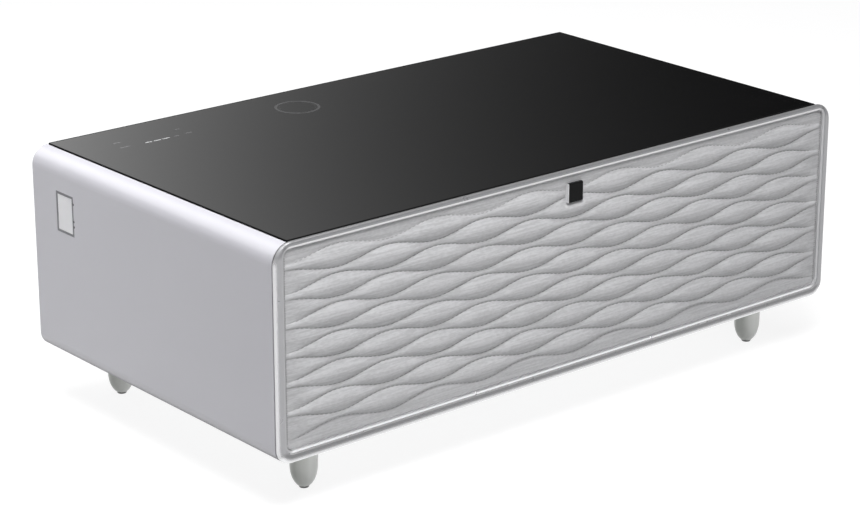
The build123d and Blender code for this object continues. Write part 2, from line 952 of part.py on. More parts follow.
def compressor():
    """The hermetic compressor: a lid pressed into its shell and welded there, on a base plate."""
    r = compressor_radius
    low, high = z_compressor, z_compressor_top
    seam = high - compressor_body / 3
    shoulder = compressor_shoulder
    profile = Plane.XZ * Polyline(
        (0, low),
        (r, low),
        (r, seam),
        (r - compressor_seam, seam),
        (r - compressor_seam, high - shoulder),
        (r * compressor_crown_share, high),
        (0, high),
        close=True,
    )
    body = Pos(compressor_x, y_machine_middle, 0) * revolve(make_face(profile), Axis.Z)
    x_reach, y_reach = compressor_plate_length / 2, compressor_plate_width / 2
    body += slab(
        compressor_x - x_reach,
        compressor_x + x_reach,
        y_machine_middle - y_reach,
        y_machine_middle + y_reach,
        z_compressor - compressor_plate,
        z_compressor,
    )
    x_face = compressor_x + r - compressor_seam
    box = compressor_box_size
    body += slab(
        x_face,
        x_face + compressor_box_depth,
        y_machine_middle - box / 2,
        y_machine_middle + box / 2,
        low + shoulder,
        low + shoulder + box,
    )
    return body


def compressor_grommets():
    group = Part()
    x_reach = compressor_plate_length / 2 - grommet_inset
    y_reach = compressor_plate_width / 2 - grommet_inset
    for x_side in (-1, 1):
        for y_side in (-1, 1):
            place = Pos(compressor_x + x_side * x_reach, y_machine_middle + y_side * y_reach, z_pan_top)
            body = Cylinder(grommet_radius, compressor_lift, align=(Align.CENTER, Align.CENTER, Align.MIN))
            group += place * body
    return group


z_tray = z_pan_top + tray_sheet
x_fan = condenser_x + header_radius + fan_gap


def fin_row(z_low, z_high):
    """One zigzag fin between two flat tubes, with flat crests, as its outline in Y and Z."""
    reach = condenser_length / 2 - 2 * header_radius
    pitch = 2 * reach / fin_folds
    crest = fin_crest_share * pitch / 2
    upper, lower = [], []
    for index in range(fin_folds + 1):
        y = y_machine_middle - reach + index * pitch
        if index % 2:
            upper += [(y - crest, z_low + fin_sheet), (y + crest, z_low + fin_sheet)]
            lower += [(y - crest, z_low), (y + crest, z_low)]
        else:
            upper += [(y - crest, z_high), (y + crest, z_high)]
            lower += [(y - crest, z_high - fin_sheet), (y + crest, z_high - fin_sheet)]
    return make_face(Polyline(*lower, *reversed(upper), close=True))


def condenser():
    """A flat-tube condenser: two headers, flat tubes, zigzag fins and the tray it stands on."""
    x, y_mid = condenser_x, y_machine_middle
    y_header = condenser_length / 2 - header_radius
    body = slab(
        x - 2 * header_radius,
        x - 2 * header_radius + tray_length,
        y_mid - fan_size / 2,
        y_mid + fan_size / 2,
        z_pan_top,
        z_tray,
    )
    header = Cylinder(header_radius, header_height, align=(Align.CENTER, Align.CENTER, Align.MIN))
    for side in (-1, 1):
        body += Pos(x, y_mid + side * y_header, z_tray) * header
    pitch = (header_height - flat_tube) / (flat_tube_rows - 1)
    for row in range(flat_tube_rows):
        z = z_tray + row * pitch
        x_low, x_high = x - flat_tube_depth / 2, x + flat_tube_depth / 2
        body += slab(x_low, x_high, y_mid - y_header, y_mid + y_header, z, z + flat_tube)
        if row + 1 < flat_tube_rows:
            body += along_x(fin_row(z + flat_tube, z + pitch), x_low, x_high)
    return body


def fan_frame():
    """The square fan housing with the motor's mount on its struts."""
    z_mid = z_tray + fan_size / 2
    y_mid = y_machine_middle
    reach = fan_size / 2
    body = slab(x_fan, x_fan + fan_depth, y_mid - reach, y_mid + reach, z_tray, z_tray + fan_size)
    body -= rod((x_fan - overrun, y_mid, z_mid), (x_fan + fan_depth + overrun, y_mid, z_mid), fan_bore)
    x_out = x_fan + fan_depth
    x_mount = x_out - fan_motor_depth
    body += rod((x_mount, y_mid, z_mid), (x_out, y_mid, z_mid), fan_hub_radius)
    arm = fan_bore + fan_strut / 2
    body += slab(x_mount, x_out, y_mid - arm, y_mid + arm, z_mid - fan_strut / 2, z_mid + fan_strut / 2)
    body += slab(x_mount, x_out, y_mid - fan_strut / 2, y_mid + fan_strut / 2, z_mid - arm, z_mid + arm)
    bore = fan_shaft_radius + fan_shaft_clearance
    return body - rod((x_mount - overrun, y_mid, z_mid), (x_out + overrun, y_mid, z_mid), bore)


def fan_rotor():
    """Hub, pitched blades and the short shaft that runs in the frame's mount."""
    hub = rod((0, 0, 0), (fan_hub_depth, 0, 0), fan_hub_radius)
    shaft_end = fan_hub_depth + fan_running_gap + fan_motor_depth
    shaft = rod((fan_hub_depth, 0, 0), (shaft_end, 0, 0), fan_shaft_radius)
    root = fan_hub_radius - 2 * fan_blade_sheet
    plane = Plane(origin=(fan_hub_depth / 2, 0, root), x_dir=(0, 1, 0), z_dir=(0, 0, 1))
    section = plane * Rot(0, 0, fan_blade_pitch) * Rectangle(fan_blade_chord, fan_blade_sheet)
    blade = extrude(section, amount=fan_blade_tip - root, dir=(0, 0, 1))
    rotor = hub + shaft
    for index in range(fan_blades):
        rotor += Rot(index * 360 / fan_blades, 0, 0) * blade
    x = x_fan + fan_depth - fan_motor_depth - fan_running_gap - fan_hub_depth
    return Pos(x, y_machine_middle, z_tray + fan_size / 2) * rotor


def bent_tube(points, radius, bend):
    """A slim tube along straight runs joined by tangent bends, with as many flats as its sides."""
    path = FilletPolyline(*points, radius=bend)
    return sweep(Plane(origin=path @ 0, z_dir=path % 0) * RegularPolygon(radius, tube_sides), path=path)


def header_top(side):
    y = y_machine_middle + side * (condenser_length / 2 - header_radius)
    return condenser_x, y, z_tray + header_height


def discharge_tube():
    """Hot gas from the compressor's side to the condenser's rear header."""
    x_head, y_head, z_head = header_top(1)
    z = z_head + 2 * tube_bend
    points = (
        (compressor_x, y_machine_middle, z_compressor_top),
        (compressor_x, y_machine_middle, z_compressor_top + 2 * tube_bend),
        (x_head, y_head, z_compressor_top + 2 * tube_bend),
        (x_head, y_head, z_head),
    )
    return bent_tube(points, discharge_radius, tube_bend)


def dryer_places():
    x, y, z = header_top(-1)
    z_run = z + 2 * tube_bend
    x_start = x - header_radius - tube_bend
    return x_start, x_start - dryer_length, y, z_run


def liquid_tube():
    """Liquid from the front header to the dryer."""
    x, y, z = header_top(-1)
    x_start, _, y_run, z_run = dryer_places()
    points = ((x, y, z), (x, y, z_run), (x_start, y_run, z_run))
    return bent_tube(points, liquid_radius, tube_bend)


def dryer_filter():
    """The copper filter dryer: a can with a narrower sleeve at each end."""
    x_start, x_end, y, z = dryer_places()
    can = rod((x_end + dryer_neck, y, z), (x_start - dryer_neck, y, z), dryer_radius)
    return can + rod((x_end, y, z), (x_start, y, z), dryer_radius / 2)


def capillary_tube():
    """The fine tube from the dryer through the bulkhead to the evaporator."""
    _, x_end, y, z = dryer_places()
    x_in, z_in = capillary_point()
    y_plate = y_liner_back_out + evaporator_sheet + evaporator_channel / 2
    points = ((x_end, y, z), (x_in, y, z), (x_in, y_plate, z_in))
    return bent_tube(points, capillary_radius, tube_bend)


def suction_tube():
    """Cold gas from the evaporator back to the compressor."""
    x, z = suction_point()
    y_plate = y_liner_back_out + evaporator_sheet + evaporator_channel / 2
    y_run = y_bulkhead_back + 2 * tube_bend
    x_down = compressor_x - compressor_radius / 4
    y_down = y_machine_middle - compressor_radius / 4
    points = ((x, y_plate, z), (x, y_run, z), (x_down, y_down, z), (x_down, y_down, z_compressor_top))
    return bent_tube(points, suction_radius, tube_bend)


def refrigerant_tubes():
    """The copper tubes of the circuit, each its own solid: hot gas, liquid, capillary and suction."""
    return discharge_tube() + liquid_tube() + capillary_tube() + suction_tube()


def power_inlet():
    """The appliance inlet in the rear panel, with three flat pins."""
    z = z_pan_top + inlet_rise
    y_out = y_rear_panel_out + inlet_flange

    def centred(width, height, y_low, y_high, rise=0):
        x_low, x_high = inlet_x - width / 2, inlet_x + width / 2
        return slab(x_low, x_high, y_low, y_high, z + rise - height / 2, z + rise + height / 2)

    body = centred(inlet_flange_width, inlet_flange_height, y_rear_panel_out, y_out)
    body += centred(inlet_body_width, inlet_body_height, y_out - inlet_body_depth, y_rear_panel_out)
    y_floor = y_out - inlet_cavity_depth
    body -= centred(inlet_cavity_width, inlet_cavity_height, y_floor, y_out + overrun)
    y_pin = y_out - inlet_flange
    for index in (-1, 0, 1):
        x = inlet_x + index * inlet_pin_pitch
        rise = -inlet_pin_offset - abs(index) * inlet_pin_thickness
        body += slab(
            x - inlet_pin_thickness / 2,
            x + inlet_pin_thickness / 2,
            y_floor,
            y_pin,
            z + rise - inlet_pin_width / 2,
            z + rise + inlet_pin_width / 2,
        )
    return body


def power_supply():
    """The boxed power supply, with a stepped lid."""
    x_low, x_high = supply_x - supply_length / 2, supply_x + supply_length / 2
    y_low = y_bulkhead_back + tube_bend
    y_high = y_low + supply_depth
    step = supply_sheet_step
    z_high = z_pan_top + supply_height
    body = slab(x_low, x_high, y_low, y_high, z_pan_top, z_high - step)
    return body + slab(x_low + step, x_high - step, y_low + step, y_high - step, z_high - step, z_high)


def control_board():
    """The control board on standoffs, with relays, a transformer and capacitors."""
    x_low, x_high = board_x - board_length / 2, board_x + board_length / 2
    z_low = z_pan_top + board_rise
    z_high = z_low + board_height
    y = y_bulkhead_back + board_standoff
    y_top = y + board_sheet
    board = slab(x_low, x_high, y, y_top, z_low, z_high)
    for x in (x_low + 2 * board_standoff_radius, x_high - 2 * board_standoff_radius):
        for z in (z_low + 2 * board_standoff_radius, z_high - 2 * board_standoff_radius):
            board += slab(
                x - board_standoff_radius,
                x + board_standoff_radius,
                y_bulkhead_back,
                y,
                z - board_standoff_radius,
                z + board_standoff_radius,
            )
    for index in range(3):
        x = x_low + relay_size * (1 + index * 4 / 3)
        z = z_low + relay_size / 2
        board += slab(x, x + relay_size, y_top, y_top + relay_size, z, z + relay_size)
    x = x_high - relay_size
    side = transformer_size
    board += slab(x - side, x, y_top, y_top + side, z_high - relay_size / 2 - side, z_high - relay_size / 2)
    for index in range(2):
        x = x_low + relay_size + index * 3 * capacitor_radius
        z = z_high - relay_size
        board += rod((x, y_top, z), (x, y_top + capacitor_height, z), capacitor_radius)
    return board


def touch_board():
    """The touch board, held against the underside of the glass."""
    return slab(
        touch_x - touch_length / 2,
        touch_x + touch_length / 2,
        touch_y - touch_width / 2,
        touch_y + touch_width / 2,
        z_glass_bottom - board_sheet,
        z_glass_bottom,
    )


def charging_coil():
    """The charging coil on its ferrite plate, against the underside of the glass."""
    reach = coil_plate / 2
    z = z_glass_bottom - coil_thickness
    coil = along_z(Pos(coil_x, coil_y) * (Circle(coil_radius) - Circle(coil_eye_radius)), z, z_glass_bottom)
    plate = slab(
        coil_x - reach, coil_x + reach, coil_y - reach, coil_y + reach, z - coil_plate_thickness, z
    )
    return coil + plate


z_socket = z_glass_top - socket_drop - socket_height / 2
x_flap_front = -half_length + flap_recess
x_flap_back = x_flap_front + flap_thickness
x_insert = x_flap_back + flap_back_gap
y_flap_low = socket_y - socket_width / 2 + socket_border + flap_gap
y_flap_high = socket_y + socket_width / 2 - socket_border - flap_gap
y_flap_pin = y_flap_low + flap_thickness / 2
x_flap_pin = x_flap_front + flap_thickness / 2
z_flap_low = z_socket - socket_height / 2 + socket_border + flap_gap
z_flap_high = z_socket + socket_height / 2 - socket_border - flap_gap


def socket_frame():
    """The module's frame, let in flush with the side panel and held by a flange behind it."""
    y_low, y_high = socket_y - socket_width / 2, socket_y + socket_width / 2
    z_low, z_high = z_socket - socket_height / 2, z_socket + socket_height / 2
    border = socket_border
    rim = socket_flange
    outer = flat(y_low, y_high, z_low, z_high)
    inner = flat(y_low + border, y_high - border, z_low + border, z_high - border)
    flange = flat(y_low - rim, y_high + rim, z_low - rim, z_high + rim)
    x_inside = -half_length + sheet
    body = along_x(outer - inner, -half_length, -half_length + socket_depth)
    body += along_x(flange - inner, x_inside, x_inside + socket_flange_thickness)
    bore = flap_pin_radius
    seat = flap_pin_seat
    for z, reach in ((z_flap_low - flap_gap, -seat), (z_flap_high + flap_gap, seat)):
        z_from, z_to = sorted((z, z + reach))
        body -= rod((x_flap_pin, y_flap_pin, z_from), (x_flap_pin, y_flap_pin, z_to), bore)
    return body


def flap_pin():
    """The hinge pin, fixed in the frame at both ends."""
    z_low = z_flap_low - flap_gap - flap_pin_seat
    z_high = z_flap_high + flap_gap + flap_pin_seat
    return rod((x_flap_pin, y_flap_pin, z_low), (x_flap_pin, y_flap_pin, z_high), flap_pin_radius)


def socket_flap():
    """The blank flap, rounded at the hinge so that it turns inside the frame."""
    plate = slab(x_flap_front, x_flap_back, y_flap_pin, y_flap_high, z_flap_low, z_flap_high)
    ends = (x_flap_pin, y_flap_pin, z_flap_low), (x_flap_pin, y_flap_pin, z_flap_high)
    barrel = rod(*ends, flap_thickness / 2)
    bore = flap_pin_radius + flap_pin_clearance
    hole = rod(
        (x_flap_pin, y_flap_pin, z_flap_low - overrun), (x_flap_pin, y_flap_pin, z_flap_high + overrun), bore
    )
    return plate + barrel - hole


def socket_insert():
    """The receptacle and two charging ports behind the flap."""
    border = socket_border
    body = slab(
        x_insert,
        x_insert + insert_depth,
        socket_y - socket_width / 2 + border,
        socket_y + socket_width / 2 - border,
        z_socket - socket_height / 2 + border,
        z_socket + socket_height / 2 - border,
    )
    z = z_socket + receptacle_rise
    for side in (-1, 1):
        y = socket_y + side * receptacle_pitch / 2
        body -= slab(
            x_insert - overrun,
            x_insert + receptacle_depth,
            y - receptacle_slot / 2,
            y + receptacle_slot / 2,
            z - receptacle_slot_height / 2,
            z + receptacle_slot_height / 2,
        )
    z = z_socket - receptacle_rise - receptacle_slot_height / 2
    for side in (-1, 1):
        y = socket_y + side * usb_pitch / 2
        port = slab(
            x_insert - overrun,
            x_insert + usb_depth,
            y - usb_width / 2,
            y + usb_width / 2,
            z - usb_height / 2,
            z + usb_height / 2,
        )
        tongue = slab(
            x_insert + usb_tongue,
            x_insert + usb_depth,
            y - usb_width / 3,
            y + usb_width / 3,
            z - usb_tongue / 2,
            z + usb_tongue / 2,
        )
        body -= port - tongue
    return body


os.makedirs("parts", exist_ok=True)

nodes = {
    "side_panel_right": side_panel,
    "side_panel_left": side_panel_left,
    "glass_top": glass_top,
    "top_deck": top_deck,
    "base_pan": base_pan,
    "liner": liner,
    "insulation_foam": insulation_foam,
    "bulkhead": bulkhead,
    "evaporator_plate": evaporator_plate,
    "rear_panel": rear_panel,
    "slide_outer_rails": slide_outer_rails,
    "slide_middle_rails": slide_middle_rails,
    "slide_inner_rails": slide_inner_rails,
    "slide_cages_outer": slide_cages_outer,
    "slide_cages_inner": slide_cages_inner,
    "front_frame": front_frame,
    "trim_bead": trim_bead,
    "door_plate": door_plate,
    "quilted_panel": quilted_panel,
    "badge_plate": badge_plate,
    "inner_door": inner_door,
    "gasket": gasket,
    "drawer_tub": drawer_tub,
    "tub_dividers": tub_dividers,
    "lamp_strip": lamp_strip,
    "temperature_sensor": temperature_sensor,
    "feet": feet,
    "foot_pads": foot_pads,
    "foot_plates": foot_plates,
    "compressor": compressor,
    "compressor_grommets": compressor_grommets,
    "condenser": condenser,
    "fan_frame": fan_frame,
    "fan_rotor": fan_rotor,
    "refrigerant_tubes": refrigerant_tubes,
    "dryer_filter": dryer_filter,
    "power_inlet": power_inlet,
    "power_supply": power_supply,
    "control_board": control_board,
    "touch_board": touch_board,
    "charging_coil": charging_coil,
    "socket_frame": socket_frame,
    "flap_pin": flap_pin,
    "socket_flap": socket_flap,
    "socket_insert": socket_insert,
}

for node, build in nodes.items():
    export_step(build(), f"parts/{node}.step")
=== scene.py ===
import math

import bmesh
import bpy
import numpy as np
from mathutils import Matrix, Vector


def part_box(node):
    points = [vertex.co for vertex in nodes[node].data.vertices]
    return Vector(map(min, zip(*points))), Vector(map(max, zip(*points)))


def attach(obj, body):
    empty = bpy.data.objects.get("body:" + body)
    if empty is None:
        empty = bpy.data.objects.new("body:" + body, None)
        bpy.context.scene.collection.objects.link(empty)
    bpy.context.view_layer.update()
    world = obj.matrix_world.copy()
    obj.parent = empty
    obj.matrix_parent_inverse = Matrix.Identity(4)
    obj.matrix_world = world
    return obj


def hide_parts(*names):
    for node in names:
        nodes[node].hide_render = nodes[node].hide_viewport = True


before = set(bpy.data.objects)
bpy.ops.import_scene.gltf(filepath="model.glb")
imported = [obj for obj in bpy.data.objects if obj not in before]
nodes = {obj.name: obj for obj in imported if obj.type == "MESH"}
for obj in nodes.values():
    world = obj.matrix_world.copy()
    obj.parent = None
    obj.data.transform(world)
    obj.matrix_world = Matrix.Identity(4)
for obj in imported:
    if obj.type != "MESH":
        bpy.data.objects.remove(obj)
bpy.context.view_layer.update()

# Camera
# The photograph's viewpoint: left of the drawer front and above the glass, with a long lens.
camera_place = (-3.0315, -3.5869, 1.8506)
looks_down = 19.26
turned_right = 39.935
camera_data = bpy.data.cameras.new("camera")
camera = bpy.data.objects.new("camera", camera_data)
bpy.context.scene.collection.objects.link(camera)
camera.location = camera_place
camera.rotation_euler = (math.radians(90 - looks_down), 0, math.radians(-turned_right))
camera_data.sensor_width = 36.0
camera_data.lens = 112.14
camera_data.clip_start = 0.1
camera_data.clip_end = 100
bpy.context.scene.camera = camera
bpy.context.scene.view_settings.view_transform = "Standard"


# Studio: a white paper floor and a pale surround, lit by three soft lights: one overhead, one
# from the back left and one from the front left. A level card, which only gloss sees, is what
# the glass top mirrors: bright at its left end and back, and dimmer to the right and the front.
class Wire:
    """One value or colour in a node tree. Arithmetic with wires adds Math nodes."""

    def __init__(self, tree, socket=None):
        self.tree = tree
        self.socket = socket

    def add(self, kind, settings, inputs, output=0):
        """A node: its settings first, then values or wires for its sockets."""
        node = self.tree.nodes.new(kind)
        for name, value in settings.items():
            setattr(node, name, value)
        for name, value in inputs.items():
            if isinstance(value, Wire):
                self.tree.links.new(value.socket, node.inputs[name])
            else:
                node.inputs[name].default_value = value
        return Wire(self.tree, node.outputs[output] if node.outputs else None)

    def math(self, operation, *values):
        return self.add("ShaderNodeMath", {"operation": operation}, dict(enumerate(values)))

    def __add__(self, other):
        return self.math("ADD", self, other)

    __radd__ = __add__

    def __sub__(self, other):
        return self.math("SUBTRACT", self, other)

    def __rsub__(self, other):
        return self.math("SUBTRACT", other, self)

    def __mul__(self, other):
        return self.math("MULTIPLY", self, other)

    __rmul__ = __mul__

    def __truediv__(self, other):
        return self.math("DIVIDE", self, other)

    def __rtruediv__(self, other):
        return self.math("DIVIDE", other, self)

    def __pow__(self, other):
        return self.math("POWER", self, other)

    def __rpow__(self, other):
        return self.math("POWER", other, self)

    def __abs__(self):
        return self.math("ABSOLUTE", self)

    def larger(self, other):
        return self.math("MAXIMUM", self, other)

    def smaller(self, other):
        return self.math("MINIMUM", self, other)

    def blend(self, first, second):
        """The first colour where this value is 0 and the second where it is 1."""
        # A Mix node has sockets of the same name for each type of data; these are the colours'.
        first_colour, second_colour, result = 6, 7, 2
        inputs = {"Factor": self, first_colour: rgba(first), second_colour: rgba(second)}
        return self.add("ShaderNodeMix", {"data_type": "RGBA"}, inputs, result)

    def between(self, first, second):
        """The first shader where this value is 0 and the second where it is 1."""
        return self.add("ShaderNodeMixShader", {}, {0: self, 1: first, 2: second})


def rgba(colour):
    """A colour for a socket: a wire as it is, or three numbers made opaque."""
    return colour if isinstance(colour, Wire) else (*colour, 1.0)


def axis(wire, name):
    """One object coordinate, in metres."""
    place = wire.add("ShaderNodeTexCoord", {}, {}, "Object")
    return wire.add("ShaderNodeSeparateXYZ", {}, {"Vector": place}, name)


def ramp(value, low, high, curve="SMOOTHSTEP"):
    """0 up to low and 1 from high on, or the other way round, with a soft or straight rise."""
    inputs = {"Value": value, "From Min": low, "From Max": high}
    return value.add("ShaderNodeMapRange", {"interpolation_type": curve}, inputs)


def seen_directly(wire):
    """1 for rays from the camera, from gloss and through glass."""
    kinds = ("Is Camera Ray", "Is Glossy Ray", "Is Transmission Ray")
    from_camera, from_gloss, through_glass = [wire.add("ShaderNodeLightPath", {}, {}, ray) for ray in kinds]
    return from_camera.larger(from_gloss).larger(through_glass)


def empty_material(name):
    """A material with no nodes, and a wire to add them with."""
    made = bpy.data.materials.new(name)
    made.use_nodes = True
    made.node_tree.nodes.clear()
    return made, Wire(made.node_tree)


def surface(wire, shader):
    """Joins a shader to the material's output."""
    wire.add("ShaderNodeOutputMaterial", {}, {"Surface": shader})


def stage_plane(name, low, high, height, material):
    """A level rectangle of the studio, from one corner to the opposite one."""
    corners = [(low[0], low[1]), (high[0], low[1]), (high[0], high[1]), (low[0], high[1])]
    mesh = bpy.data.meshes.new(name)
    mesh.from_pydata([(x, y, height) for x, y in corners], [], [(0, 1, 2, 3)])
    obj = bpy.data.objects.new(name, mesh)
    bpy.context.scene.collection.objects.link(obj)
    mesh.materials.append(material)
    return obj


floor_reach = 14
floor_glow_share = 0.43
sky_low, sky_high = 0.05, 0.5
floor_material, wire = empty_material("studio_floor")
paper = wire.add("ShaderNodeBsdfDiffuse", {}, {"Color": rgba((0.42, 0.42, 0.42))})
glow = wire.add("ShaderNodeEmission", {}, {"Color": rgba((1, 1, 1)), "Strength": 2.0})
surface(wire, (seen_directly(wire) * floor_glow_share).between(paper, glow))
stage_plane("studio_floor", (-floor_reach, -floor_reach), (floor_reach, floor_reach), 0, floor_material)

world = bpy.data.worlds.new("studio")
bpy.context.scene.world = world
world.use_nodes = True
world.node_tree.nodes.clear()
wire = Wire(world.node_tree)
fill = wire.add("ShaderNodeBackground", {}, {"Color": rgba((0.95, 0.95, 1.0)), "Strength": 0.20})
horizon = wire.add("ShaderNodeBackground", {}, {"Color": rgba((1, 1, 1)), "Strength": 1.0})
ceiling = wire.add("ShaderNodeBackground", {}, {"Color": rgba((1, 1, 1)), "Strength": 0.34})
direction = wire.add("ShaderNodeTexCoord", {}, {}, "Generated")
upward = wire.add("ShaderNodeSeparateXYZ", {}, {"Vector": direction}, "Z")
mirrored = ramp(upward, sky_low, sky_high).between(horizon, ceiling)
wire.add("ShaderNodeOutputWorld", {}, {"Surface": seen_directly(wire).between(fill, mirrored)})


def area_light(name, place, target, size, power):
    """A soft rectangular light, turned to its target; sizes in metres and power in watts."""
    data = bpy.data.lights.new(name, "AREA")
    data.shape = "RECTANGLE"
    data.size, data.size_y = size
    data.energy = power
    light = bpy.data.objects.new(name, data)
    bpy.context.scene.collection.objects.link(light)
    light.location = place
    light.rotation_euler = (Vector(target) - Vector(place)).to_track_quat("-Z", "Y").to_euler()


area_light("overhead", (-0.45, -0.15, 2.9), (-0.15, 0, 0.4), (3.0, 2.2), 84)
area_light("back_left", (-1.9, 2.7, 2.5), (-0.4, 0, 0.4), (3.4, 2.0), 30)
area_light("front_key", (-1.15, -1.75, 3.1), (0.1, -0.36, 0.28), (1.3, 0.9), 66)

# The point of the card that shows in the glass's middle; how far left and back from there the
# dimming by both directions starts; and the powers of ten by which the card dims: to the right,
# to the front, by both together, and all over.
mirror_x, mirror_y = 3.03, 3.59
glass_left, glass_back = 0.6, 0.5
dims_right, dims_front, dims_both, dims_all = 0.95, 0.56, 0.27, 0.77
brightest = 1.4
card_low, card_high, card_height = (0.9, 2.0), (6.2, 5.6), 1.85
card_material, wire = empty_material("reflection_card")
glass_x = (axis(wire, "X") - mirror_x) / 2
glass_y = (axis(wire, "Y") - mirror_y) / 2
both_ways = (glass_x + glass_left) * (glass_back - glass_y)
brightness = 10 ** (glass_y * dims_front - glass_x * dims_right - dims_all - both_ways * dims_both)
card_look = {
    "Base Color": rgba((0, 0, 0)),
    "Specular IOR Level": 0.0,
    "Emission Color": brightness.smaller(brightest),
    "Emission Strength": 1.0,
}
surface(wire, wire.add("ShaderNodeBsdfPrincipled", {}, card_look))
card = stage_plane("reflection_card", card_low, card_high, card_height, card_material)
card.visible_camera = False
card.visible_diffuse = False
card.visible_shadow = False


# Painted steel shell: two side panels bent round the long edges, and the louvred back.
# Sheet steel, powder coated in pale grey, with a faint orange peel under a clear coat. Painted
# shade makes the colour a little darker towards the front and dark under the lower bend, where
# the coat is also dull.
def finish(name, colour, rough, metal=0.0, coat=0.0, **plain):
    """A material, a wire for it, and its shader, with the values that are the same all over."""
    made, wire = empty_material(name)
    look = {"Base Color": rgba(colour), "Roughness": rough, "Metallic": metal, "Coat Weight": coat}
    look.update({socket.replace("_", " "): value for socket, value in plain.items()})
    shader = wire.add("ShaderNodeBsdfPrincipled", {}, look)
    surface(wire, shader)
    return made, wire, shader.socket.node


def spread(wire, scale, detail=3.0, factors=(1, 1, 1)):
    """Noise from 0 to 1 over the piece, in cycles a metre, times a factor for each axis."""
    place = wire.add("ShaderNodeTexCoord", {}, {}, "Object")
    drawn = wire.add("ShaderNodeVectorMath", {"operation": "MULTIPLY"}, {0: place, 1: factors})
    return wire.add("ShaderNodeTexNoise", {}, {"Vector": drawn, "Scale": scale, "Detail": detail})


def vary(wire, shader, socket, value):
    """Feeds a socket of the shader with what changes over the surface."""
    wire.tree.links.new(value.socket, shader.inputs[socket])


def emboss(wire, shader, height, distance, strength):
    """Bumps of this height, in metres for a value of 1."""
    bump = wire.add("ShaderNodeBump", {}, {"Height": height, "Distance": distance, "Strength": strength})
    vary(wire, shader, "Normal", bump)


def dress(material, *names):
    """Gives carried-over nodes their finish."""
    for name in names:
        for slot in nodes[name].material_slots:
            slot.material = material


shell_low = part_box("side_panel_left")[0].z
bend_start, bend_end = shell_low + 0.024, shell_low + 0.002
shade_start, shade_end = 0.30, -0.36
shade = (0.05, 0.05, 0.055)
front_shade, bend_shade = 0.10, 0.8
shell_coat = 0.8
shell_paint, wire, shader = finish(
    "shell_paint", (0.58, 0.575, 0.62), 0.38, coat=shell_coat, Coat_Roughness=0.16
)
# Painted shade: the colour darkens towards the front and under the lower bend.
front_shade_mask = ramp(axis(wire, "Y"), shade_start, shade_end)
underside = ramp(axis(wire, "Z"), bend_start, bend_end)
pale = spread(wire, 3.0).blend((0.56, 0.555, 0.602), (0.60, 0.595, 0.638))
pale = (front_shade_mask * front_shade).blend(pale, shade)
vary(wire, shader, "Base Color", (underside * bend_shade).blend(pale, shade))
vary(wire, shader, "Roughness", spread(wire, 60.0) * 0.08 + 0.30 + underside * 0.5)
vary(wire, shader, "Coat Weight", shell_coat - underside * shell_coat)
emboss(wire, shader, spread(wire, 900.0, 1.0), 0.00006, 0.35)
dress(shell_paint, "side_panel_right", "side_panel_left", "rear_panel")

# Six hexagon screws that hold the rear panel to the shell.
# Zinc-plated steel, each with a washer face under its head and a chamfer round the top.
screw_columns = (-0.5218, 0.0, 0.5218)
screw_rows = (0.1045, 0.4555)
rear_face = 0.357
# Sides, radius at the foot and at the tip, and where each layer starts and ends, in millimetres.
screw_layers = ((28, 5.2, 5.0, 0, 0.5), (6, 4.0, 4.0, 0.5, 1.5), (6, 4.0, 3.3, 1.5, 1.8))
bm = bmesh.new()
for x in screw_columns:
    for z in screw_rows:
        seat = Matrix.Translation((x, rear_face, z)) @ Matrix.Rotation(-math.pi / 2, 4, "X")
        for sides, wide, tip, start, end in screw_layers:
            bmesh.ops.create_cone(
                bm, cap_ends=True, segments=sides, radius1=wide / 1000, radius2=tip / 1000,
                depth=(end - start) / 1000, matrix=seat @ Matrix.Translation((0, 0, (start + end) / 2000)),
            )


def mesh_of(name, bm):
    """The mesh of what was built in bm."""
    mesh = bpy.data.meshes.new(name)
    bm.to_mesh(mesh)
    bm.free()
    return mesh


def new_object(name, mesh, body, material, smooth=True):
    """A finished piece on its body."""
    mesh.validate()
    if smooth:
        mesh.polygons.foreach_set("use_smooth", [True] * len(mesh.polygons))
    obj = bpy.data.objects.new(name, mesh)
    bpy.context.scene.collection.objects.link(obj)
    mesh.materials.append(material)
    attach(obj, body)
    return obj


def mottle(wire, shader, scale, share):
    """Uneven colour: noise that takes it down and up by this share."""
    colour = shader.inputs["Base Color"].default_value
    pair = [[min(value * side, 1.0) for value in colour[:3]] for side in (1 - share, 1 + share)]
    vary(wire, shader, "Base Color", spread(wire, scale).blend(*pair))


def rubbed(name, colour, rough, patches, rub, gloss, **plain):
    """A finish with uneven colour and uneven roughness, which is given as its span and its least."""
    made, wire, shader = finish(name, colour, rough, **plain)
    mottle(wire, shader, *patches)
    span, least = gloss
    vary(wire, shader, "Roughness", spread(wire, *rub) * span + least)
    return made


screw_zinc = rubbed(
    "screw_zinc", (0.62, 0.62, 0.60), 0.3,
    patches=(200.0, 0.10), rub=(300.0,), gloss=(0.2, 0.24), metal=1.0,
)
new_object("rear_screws", mesh_of("rear_screws", bm), "cabinet", screw_zinc, smooth=False)

# Steel inside the shell: base pan, bulkhead, foot plates and the plate behind the drawer front.
# Galvanised sheet, cut and folded, with the soft spangle of hot dipping.
galvanised, wire, shader = finish("galvanised_steel", (0.56, 0.57, 0.58), 0.38, metal=0.9)
place = wire.add("ShaderNodeTexCoord", {}, {}, "Object")
crystals = wire.add("ShaderNodeTexVoronoi", {}, {"Vector": place, "Scale": 90.0}, "Color")
spangle = wire.add("ShaderNodeSeparateColor", {}, {"Color": crystals}, "Red")
vary(wire, shader, "Base Color", spangle.blend((0.48, 0.49, 0.50), (0.64, 0.65, 0.66)))
vary(wire, shader, "Roughness", spangle * 0.16 + 0.30)
dress(galvanised, "base_pan", "bulkhead", "foot_plates", "door_plate")

